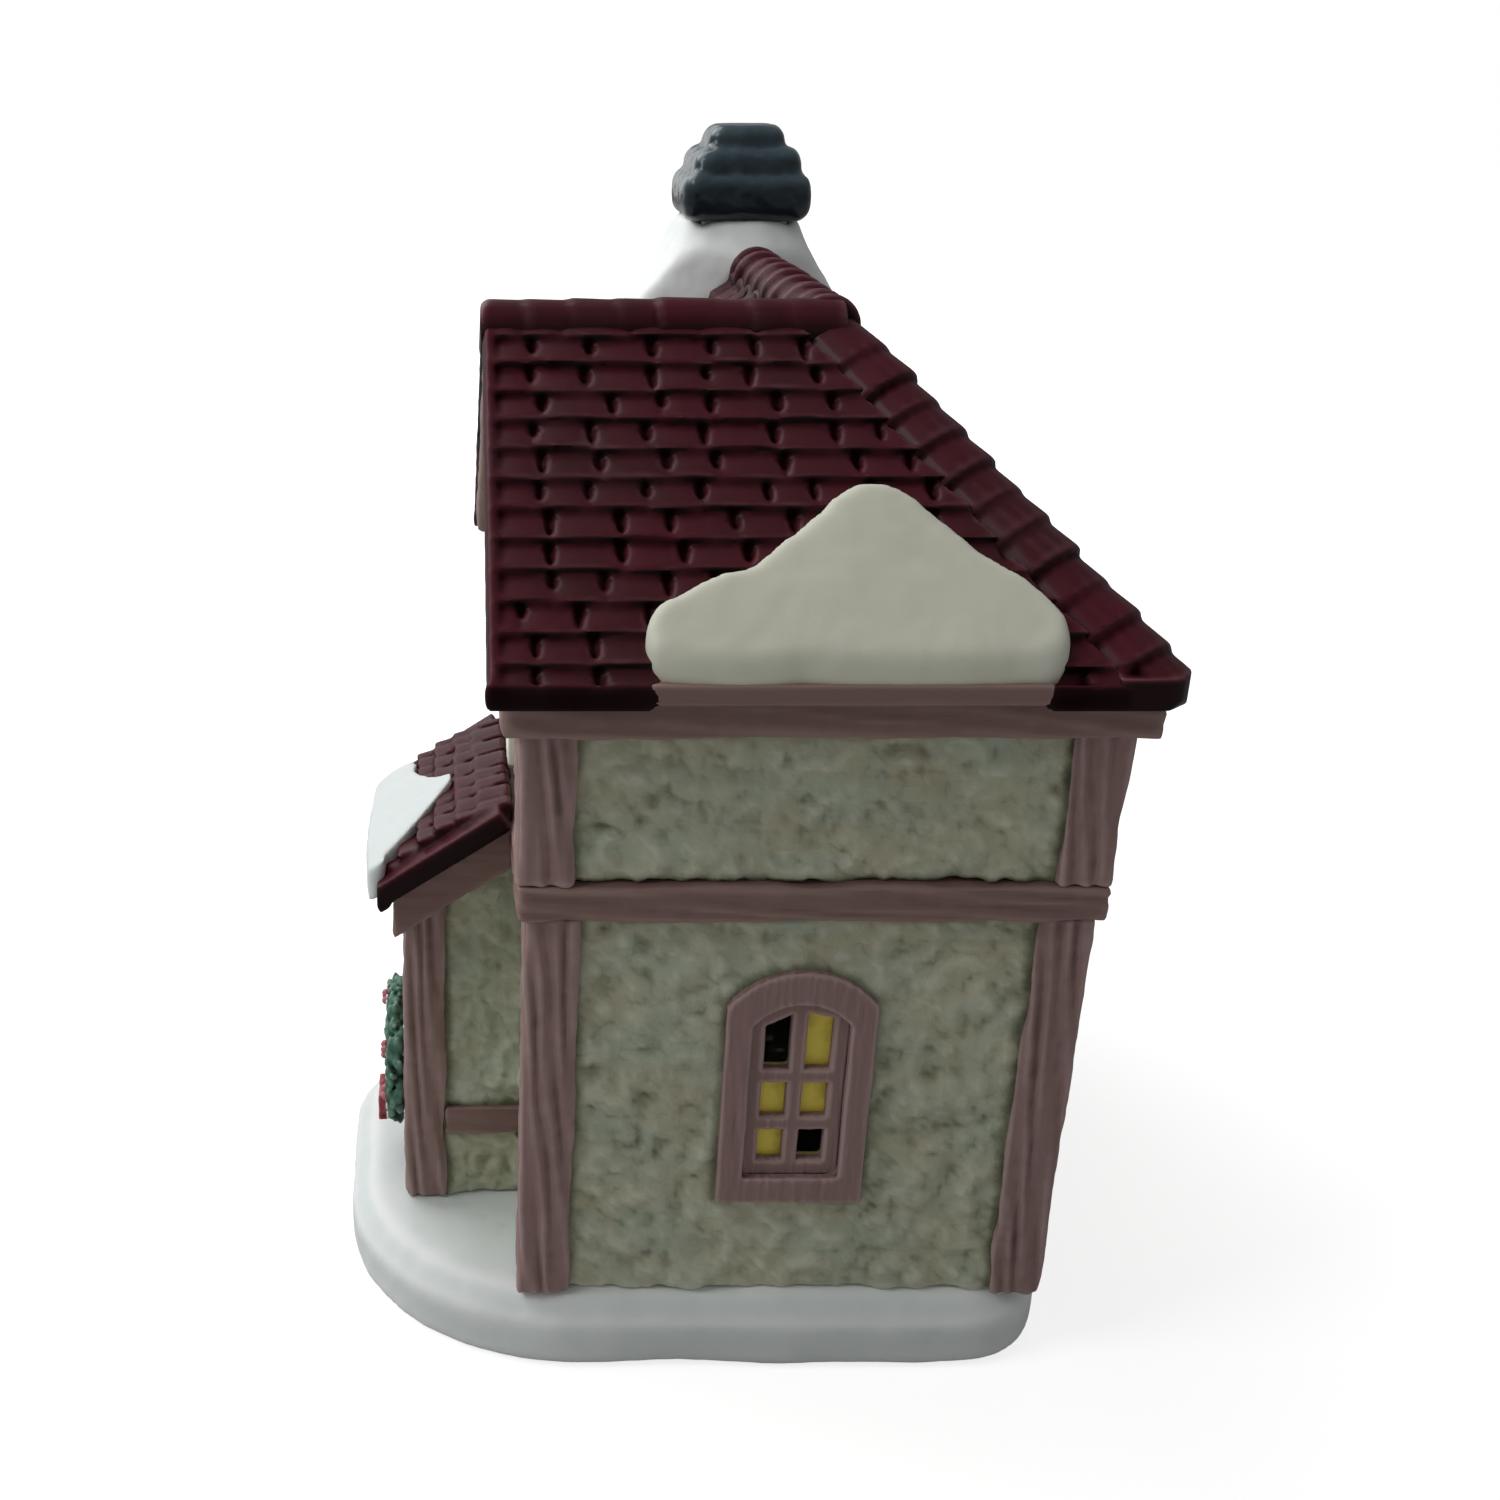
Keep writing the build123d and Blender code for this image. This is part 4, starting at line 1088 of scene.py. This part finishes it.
@dataclass
class Walls:
    """Stucco storeys, gables and the snow base they stand on; sizes in millimetres."""

    palette: Palette
    light_hole: Triple = (28.8, 51.2, 36.0)
    hole_radius: float = 15.7
    bore_length: float = 30.0
    hole_plug: Span = (17.0, 4.0)
    skins: tuple[tuple[str, float], ...] = (
        ("lower_walls", 0.95), ("upper_walls", 0.8), ("gable_wall_front", 0.7), ("gable_wall_left", 0.7),
        ("porch_wall_front", 0.5), ("porch_wall_right", 0.5), ("porch_wall_left", 0.5),
    )

    def build(self) -> None:
        """Build the walls and the base and dress them."""
        timbers = [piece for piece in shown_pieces() if piece.name.endswith("_grained")]
        for name, voxel in self.skins:
            wall = cast_copy(name, f"{name}_stucco")
            # The light hole is filled, worked over with the rest, and then bored clean
            if name == "lower_walls":
                wall = join(wall.name, wall, self.round_bar(*self.hole_plug))
            slip_cast(wall, voxel, 1)
            press(wall, "CLOUDS", 8.5, 2.0, (1.3, 1.3, 1.0), noise_type="HARD_NOISE")
            press(wall, "CLOUDS", 6.0, -1.6, (1.0, 1.0, 1.4), noise_type="HARD_NOISE")
            press(wall, "CLOUDS", 3.0, 0.5)
            if name == "lower_walls":
                cutter = self.round_bar(self.hole_radius, self.bore_length)
                apply_modifier(wall, "BOOLEAN", object=cutter, operation="DIFFERENCE", solver="EXACT")
                bpy.data.objects.remove(cutter)
            write_cavity(wall, 3, 0.55)
            # Painted shade along the seams with the timbers
            shade_seams(wall, timbers)
            dress(wall, self.palette.stucco, "stucco", name)
        base = cast_copy("ground_base", "ground_base_snow")
        slip_cast(base, 1.1, 4)
        press(base, "CLOUDS", 16.0, 1.0)
        press(base, "CLOUDS", 2.2, 0.12)
        write_cavity(base, 6, 0.3)
        dress(base, self.palette.snow, "snow", "ground_base")

    def round_bar(self, radius: float, length: float) -> Thing:
        """Add a round bar across the back wall, in line with the light hole.

        Args:
            radius: its radius.
            length: its length, half of it on each side of the wall's middle.

        Returns:
            The new object.
        """
        bar = added(bpy.ops.mesh.primitive_cylinder_add, vertices=96, radius=radius * MM, depth=length * MM,
                    location=Vector(self.light_hole) * MM, rotation=(QUARTER, 0, 0))
        bpy.ops.object.transform_apply(location=True, rotation=True, scale=True)
        return bar


@dataclass
class Timbers:
    """Posts, beams, braces and rails: scratched clay painted as timber; sizes in millimetres."""

    palette: Palette
    upright: tuple[str, ...] = (
        "lower_post_front_right", "lower_post_back_right", "lower_post_back_left", "lower_post_front_left",
        "lower_post_wing_left", "upper_post_front_right", "upper_post_back_right", "upper_post_back_left",
        "upper_post_front_left", "upper_post_wing_left", "upper_brace_right", "upper_brace_left",
        "porch_post_right", "porch_post_left", "front_door",
    )
    level: tuple[tuple[str, float, float], ...] = (
        ("belt_beam", 0.66, 0.34), ("cornice", 0.8, 0.22), ("roof_shell", 1.25, 0.05),
        ("porch_roof_deck", 0.5, 0.08), ("porch_rail_right", 0.35, 0.25), ("porch_rail_left", 0.35, 0.25),
    )
    eave_corner: Triple = (79.6, 60.5, 5.4)

    def carve(self, piece: Thing, depth: float, grain: Grain) -> None:
        """Cut grooves along a timber's grain and scratch it.

        Args:
            piece: the timber.
            depth: depth of the grooves.
            grain: how the grain runs.
        """
        press(piece, "WOOD", 0.7, depth, grain.carved(), wood_type="BANDNOISE", turbulence=7.0)
        press(piece, "CLOUDS", 2.3, 0.4, grain.value)

    def build(self) -> None:
        """Build each timber and dress it."""
        for name in self.upright:
            post = cast_copy(name, f"{name}_grained")
            slip_cast(post, 0.46, 5)
            self.carve(post, 0.42, Grain.UP)
            press(post, "CLOUDS", 7.0, 0.7)
            write_cavity(post, 4, 0.26)
            dress(post, self.palette.timber_up, "timber", name)
        for name, voxel, carving in self.level:
            beam = cast_copy(name, f"{name}_grained")
            slip_cast(beam, voxel, 4)
            if name == "roof_shell":
                swell(beam, -0.5)
                cut_away(beam, *round_corner(*self.eave_corner))
            self.carve(beam, carving, Grain.ACROSS)
            press(beam, "CLOUDS", 8.0, 0.6)
            write_cavity(beam, 4, 0.28)
            # Level timbers take the darker copy of the brown, as painted shade
            dress(beam, self.palette.timber_across_shaded, "timber", name)


@dataclass
class Windows:
    """Arched windows, the upper window and their painted panes; sizes in millimetres."""

    palette: Palette
    forward: float = 0.75
    pane_top: float = 62.8
    middles: Span = (11.7, -41.0)
    lifts: tuple[Triple, ...] = ((-2.0, 2.0, 2.4), (2.0, 7.0, 1.5))

    def raise_panes(self, piece: Thing, place: str) -> None:
        """Raise the heads of the two upper panes under the arch, the left one to a point.

        Args:
            piece: the sash or the panes.
            place: which of the windows it belongs to; the upper one stays square.
        """
        if place == "upper":
            return
        axis, middle = (1, self.middles[0]) if place == "side" else (0, self.middles[1])
        for low, high, lift in self.lifts:
            move_points(piece, lambda p: abs(p.z / MM - self.pane_top) < 0.1
                        and low < p[axis] / MM - middle < high, lift)

    def build(self) -> None:
        """Build each window's pieces and dress them."""
        for place in ("side", "front", "upper"):
            outward = Vector((1, 0, 0)) if place == "side" else Vector((0, -1, 0))
            forward = Matrix.Translation(outward * self.forward * MM)
            slot = "cream" if place == "upper" else "timber"
            paint = self.palette.cream if place == "upper" else self.palette.timber_up
            for part, voxel in (("frame", 0.28), ("sash", 0.22)):
                name = f"{place}_window_{part}"
                piece = cast_copy(name, f"{name}_grained")
                if part == "sash":
                    self.raise_panes(piece, place)
                slip_cast(piece, voxel, 4)
                if part == "sash":
                    swell(piece, 0.3)
                    piece.data.transform(forward)
                press(piece, "CLOUDS", 1.1, 0.3, Grain.UP.value)
                write_cavity(piece, 5, 0.12)
                dress(piece, paint, slot, name)
            name = f"{place}_window_panes"
            panes = cast_copy(name, f"{name}_painted")
            self.raise_panes(panes, place)
            panes.data.transform(forward)
            slip_cast(panes, 0.4, 2)
            write_cavity(panes, 5, 0.12)
            dress(panes, self.palette.pane, "pane_yellow", name)


@dataclass
class Porch:
    """Tiled lean-to roof over the porch and the snow on it; sizes in millimetres."""

    palette: Palette
    left: float = 5.6
    right: float = 52.0
    eave: float = -54.8
    head: float = -32.9
    deck_level: float = 73.1
    rise: float = 14.7
    lip_radius: float = 1.8
    lip_level: float = 1.3
    snow_lift: float = 1.3

    def build(self) -> None:
        """Build the porch roof's tiles and snow and dress them."""
        lip = []
        for turn in (0.5, 1.0, 1.57):
            c, s = math.cos(turn), math.sin(turn)
            lip.append(((0.0, self.eave + self.lip_radius * (1 - c),
                         self.deck_level + self.lip_level - self.lip_radius * s), (0.0, -c, -s)))
        broad = self.right - self.left
        tiles = TileField("porch_tiles_cast", "porch_tiles", (self.left, self.eave, self.deck_level), (0, 1), broad,
                          self.head - self.eave, self.rise, layer=4.6, lip=1.3, courses=7, width=5.4, joint=0.9,
                          voxel=0.35, seed=31, crown=2.0,
                          cuts=[((self.left, 0, 0), (-1, 0, 0)), ((self.right, 0, 0), (1, 0, 0)),
                                ((0, self.head, 0), (0, 1, 0)), ((0, self.eave, 0), (0, -1, 0)), *lip],
                          bands=((0, broad),), margins=(3.4, 3.4), eave_shade_width=2.4, rims=(2.0, broad - 2.0),
                          rim_width=4.0)
        dress(tiles.build(), self.palette.roof, "roof_glaze", tiles.node)
        snow = cast_copy("porch_snow", "porch_snow_drift")
        snow.data.transform(Matrix.Translation((0, 0, self.snow_lift * MM)))
        slip_cast(snow, 0.35, 50)
        press(snow, "CLOUDS", 7.0, 0.5)
        write_cavity(snow, 12, 0.6)
        dress(snow, self.palette.snow, "snow", "porch_snow")


@dataclass
class Greenery:
    """Evergreen wreath on the porch and the swag over the upper window; sizes in millimetres."""

    palette: Palette
    middle: Triple = (28.8, -52.1, 34.0)
    ring: float = 10.6
    tube: float = 1.7
    ring_leaves: int = 230
    dabs: int = 46
    berry_groups: tuple[float, ...] = (-0.35, 0.5, 1.6, 2.6, 3.9)
    swag_leaves: int = 120
    swag_left: float = 18.0
    swag_right: float = 39.6
    swag_top: float = 111.6
    swag_sag: float = 2.8
    swag_front: float = -32.8

    def leaf(self) -> Thing:
        """Model one leaf: thin, pointed at both ends, raised along its middle.

        Returns:
            The leaf, along Y, its middle at the origin.
        """
        leaf = slab("leaf", (1.5, 3.8, 0.6), (0, 0, 0))
        pick(leaf, lambda p: True)
        bpy.ops.mesh.subdivide(number_cuts=2)
        close()
        size_points(leaf, lambda p: abs(p.y) > 1.8 * MM, (0.25, 1, 0.6))
        move_points(leaf, lambda p: abs(p.x) < 0.3 * MM and abs(p.y) < 1.0 * MM and p.z > 0, 0.35)
        return leaf

    def berry(self, radius: float) -> Thing:
        """Model one berry or dab, flat at its back.

        Args:
            radius: its radius.

        Returns:
            The berry at the origin.
        """
        berry = added(bpy.ops.mesh.primitive_uv_sphere_add, segments=10, ring_count=6, radius=radius * MM)
        size_points(berry, lambda p: p.z < -0.2 * radius * MM, (0.8, 0.8, 0.4))
        return berry

    def ring_place(self, angle: float, out: float, front: float) -> Matrix:
        """Find a place on the wreath.

        Args:
            angle: angle round the ring, from +X.
            out: distance from the ring's middle line, away from its centre.
            front: distance in front of the ring's middle plane.

        Returns:
            The move to that place.
        """
        reach = self.ring + out
        x, y, z = self.middle
        spot = Vector((x + reach * math.cos(angle), y - front, z + reach * math.sin(angle)))
        return Matrix.Translation(spot * MM)

    def build(self) -> None:
        """Build the wreath, its dabs of snow, berries and bow, and the swag."""
        dice = random.Random(41)
        leaves, dabs, berries, swag = [], [], [], []
        for index in range(self.ring_leaves):
            angle = math.tau * index / self.ring_leaves + dice.uniform(-0.03, 0.03)
            around = dice.uniform(-2.0, 2.0)
            spot = self.ring_place(angle, self.tube * math.sin(around), self.tube * math.cos(around) * 0.9)
            turn = FACING_FRONT @ Matrix.Rotation(angle + dice.uniform(-0.7, 0.7), 4, "Z")
            tilt = Matrix.Rotation(around, 4, "Y") @ Matrix.Rotation(dice.uniform(-0.3, 0.5), 4, "X")
            leaves.append(spot @ turn @ tilt)
        for _ in range(self.dabs):
            spot = self.ring_place(dice.uniform(0, math.tau), dice.uniform(-1.6, 1.8), 1.9)
            dabs.append(spot @ FACING_FRONT @ Matrix.Diagonal((1, dice.uniform(1.0, 1.8), 0.6, 1)))
        for group in self.berry_groups:
            for step in (-0.09, 0.0, 0.09):
                berries.append(self.ring_place(group + step, 0.5 if step == 0 else -0.5, 2.2) @ FACING_FRONT)
        wreath = lay_copies(self.leaf(), leaves, "wreath_twigs")
        slip_cast(wreath, 0.27, 1)
        write_cavity(wreath, 6, 0.3)
        dress(wreath, self.palette.green, "evergreen", "door_wreath")
        flecks = lay_copies(self.berry(0.42), dabs, "wreath_snow_dabs")
        write_cavity(flecks)
        dress(flecks, self.palette.snow, "snow")
        fruit = lay_copies(self.berry(0.75), berries, "wreath_berries")
        write_cavity(fruit)
        dress(fruit, self.palette.red, "ribbon")
        bow = cast_copy("wreath_bow", "wreath_bow_soft")
        slip_cast(bow, 0.25, 9)
        press(bow, "CLOUDS", 2.0, 0.6)
        write_cavity(bow, 6, 0.25)
        dress(bow, self.palette.red, "ribbon", "wreath_bow")
        for _ in range(self.swag_leaves):
            part = dice.uniform(0, 1)
            x = self.swag_left + (self.swag_right - self.swag_left) * part
            z = self.swag_top - self.swag_sag * math.sin(math.pi * part) + dice.uniform(-1.6, 1.0)
            spot = Vector((x, self.swag_front + dice.uniform(-0.9, 0.9), z)) * MM
            turn = FACING_FRONT @ Matrix.Rotation(1.57 + dice.uniform(-0.9, 0.9), 4, "Z")
            swag.append(Matrix.Translation(spot) @ turn @ Matrix.Rotation(dice.uniform(-0.9, 0.9), 4, "Y"))
        garland = lay_copies(self.leaf(), swag, "garland_twigs")
        slip_cast(garland, 0.26, 1)
        write_cavity(garland, 6, 0.3)
        dress(garland, self.palette.green, "evergreen", "upper_garland")


@dataclass
class Lamp:
    """Snap-in lamp and its candle bulb; sizes in millimetres."""

    palette: Palette
    foot: Triple = (28.8, 31.2, 36.0)
    profile: tuple[Span, ...] = (
        (6.0, 0.0), (7.6, 3.0), (9.0, 7.0), (9.75, 11.0), (9.7, 15.0), (8.9, 19.5), (7.4, 24.0), (5.5, 28.5),
        (3.6, 32.0), (1.9, 34.6), (0.6, 35.9),
    )

    def build(self) -> None:
        """Build the bulb's glass and dress the lamp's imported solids."""
        glass = added(bpy.ops.mesh.primitive_circle_add, vertices=32, radius=self.profile[0][0] * MM,
                      fill_type="NGON")
        glass.name = "bulb_glass_blown"
        open_all(glass)
        for (before, low), (after, high) in zip(self.profile, self.profile[1:]):
            bpy.ops.mesh.extrude_region_move(TRANSFORM_OT_translate={"value": (0, 0, (high - low) * MM)})
            bpy.ops.transform.resize(value=(after / before, after / before, 1))
        bpy.ops.mesh.select_all(action="SELECT")
        bpy.ops.mesh.normals_make_consistent(inside=False)
        close()
        glass.rotation_euler = (QUARTER, 0, 0)
        glass.location = Vector(self.foot) * MM
        bpy.ops.object.transform_apply(location=True, rotation=True, scale=True)
        bpy.ops.object.shade_smooth_by_angle(angle=math.radians(50))
        dress(glass, self.palette.glass, "bulb_glass", "bulb_glass", body="bulb")
        stuff = {"lamp_socket": self.palette.plastic, "lamp_contact_shell": self.palette.brass,
                 "lamp_spring_clip": self.palette.steel, "bulb_cap": self.palette.brass}
        for name, material in stuff.items():
            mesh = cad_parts[name].data
            mesh.materials.clear()
            mesh.materials.append(material)


@dataclass
class Studio:
    """Pale floor, soft light from above and the camera of the photo; sizes in metres."""

    lens: float = 42.96
    sensor: float = 36.0
    place: Triple = (0.314, -0.044, 0.205)
    tilt: float = 68.0
    shift: Span = (0.2047, 0.01)
    aim: Triple = (0.0, 0.0, 0.08)
    dim_walls: float = 0.26
    panels: tuple[tuple[str, Triple, float, float], ...] = (
        ("sky_panel", (-0.50, -0.60, 1.0), 1.0, 9.0), ("window_panel", (-1.0, -0.45, 0.5), 0.9, 2.0),
        ("side_panel", (0.30, -0.90, 0.95), 0.5, 4.1),
    )

    def build(self) -> None:
        """Set up the camera, the floor and the light."""
        scene = bpy.context.scene
        data = bpy.data.cameras.new("camera")
        data.lens = self.lens
        data.sensor_width = self.sensor
        data.shift_x, data.shift_y = self.shift
        data.clip_start = 0.01
        camera = bpy.data.objects.new("camera", data)
        camera.location = self.place
        camera.rotation_euler = (math.radians(self.tilt), 0, QUARTER)
        scene.collection.objects.link(camera)
        scene.camera = camera
        floor = added(bpy.ops.mesh.primitive_plane_add, size=6.0)
        floor.name = "floor"
        floor.data.materials.append(self.floor_paper())
        floor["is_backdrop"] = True
        for panel in self.panels:
            self.soft_box(*panel)
        scene.world = bpy.data.worlds.new("studio_walls")
        scene.world.use_nodes = True
        tree = scene.world.node_tree
        rays = node(tree, "LightPath").outputs["Is Camera Ray"]
        level = node(tree, "MapRange", {"Value": rays, "To Min": self.dim_walls, "To Max": 1.0}).outputs[0]
        feed(tree, tree.nodes["Background"], {"Strength": level, "Color": (1, 1, 1, 1)})
        scene.view_settings.view_transform = "Standard"

    def floor_paper(self) -> bpy.types.Material:
        """Make the paper of the studio floor: plain white, showing only soft shadow.

        Returns:
            The new material.
        """
        mix = Mixer("white_studio_paper")
        seen = mix.add("LightPath").outputs["Is Camera Ray"]
        away = mix.add("VectorMath", {0: mix.place}, operation="LENGTH").outputs["Value"]
        glow = mix.maths("MULTIPLY", seen, mix.ramp(away, 0.15, 0.7, 0.76, 1.0))
        return mix.finish({"Emission Strength": glow, "Emission Color": (1, 1, 1, 1), "Roughness": 0.9,
                           "Base Color": linear("#c4c4c4"), "Specular IOR Level": 0.1})

    def soft_box(self, name: str, place: Triple, size: float, power: float) -> None:
        """Hang one soft light that looks at the house.

        Args:
            name: name of the light.
            place: where it hangs.
            size: edge of its square.
            power: its strength in watts.
        """
        data = bpy.data.lights.new(name, "AREA")
        data.size = size
        data.energy = power
        light = bpy.data.objects.new(name, data)
        light.location = place
        light.rotation_euler = (Vector(self.aim) - Vector(place)).to_track_quat("-Z", "Y").to_euler()
        bpy.context.scene.collection.objects.link(light)
        light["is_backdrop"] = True


def main() -> None:
    """Build the house piece by piece."""
    logging.basicConfig(level=logging.INFO)
    palette = Palette()
    for assembly in (Timbers, Windows, Walls, Roof, Chimney, Porch, Greenery, Lamp):
        assembly(palette).build()
        LOG.info("%s done", assembly.__name__)
    Studio().build()


if __name__ == "__main__":
    main()
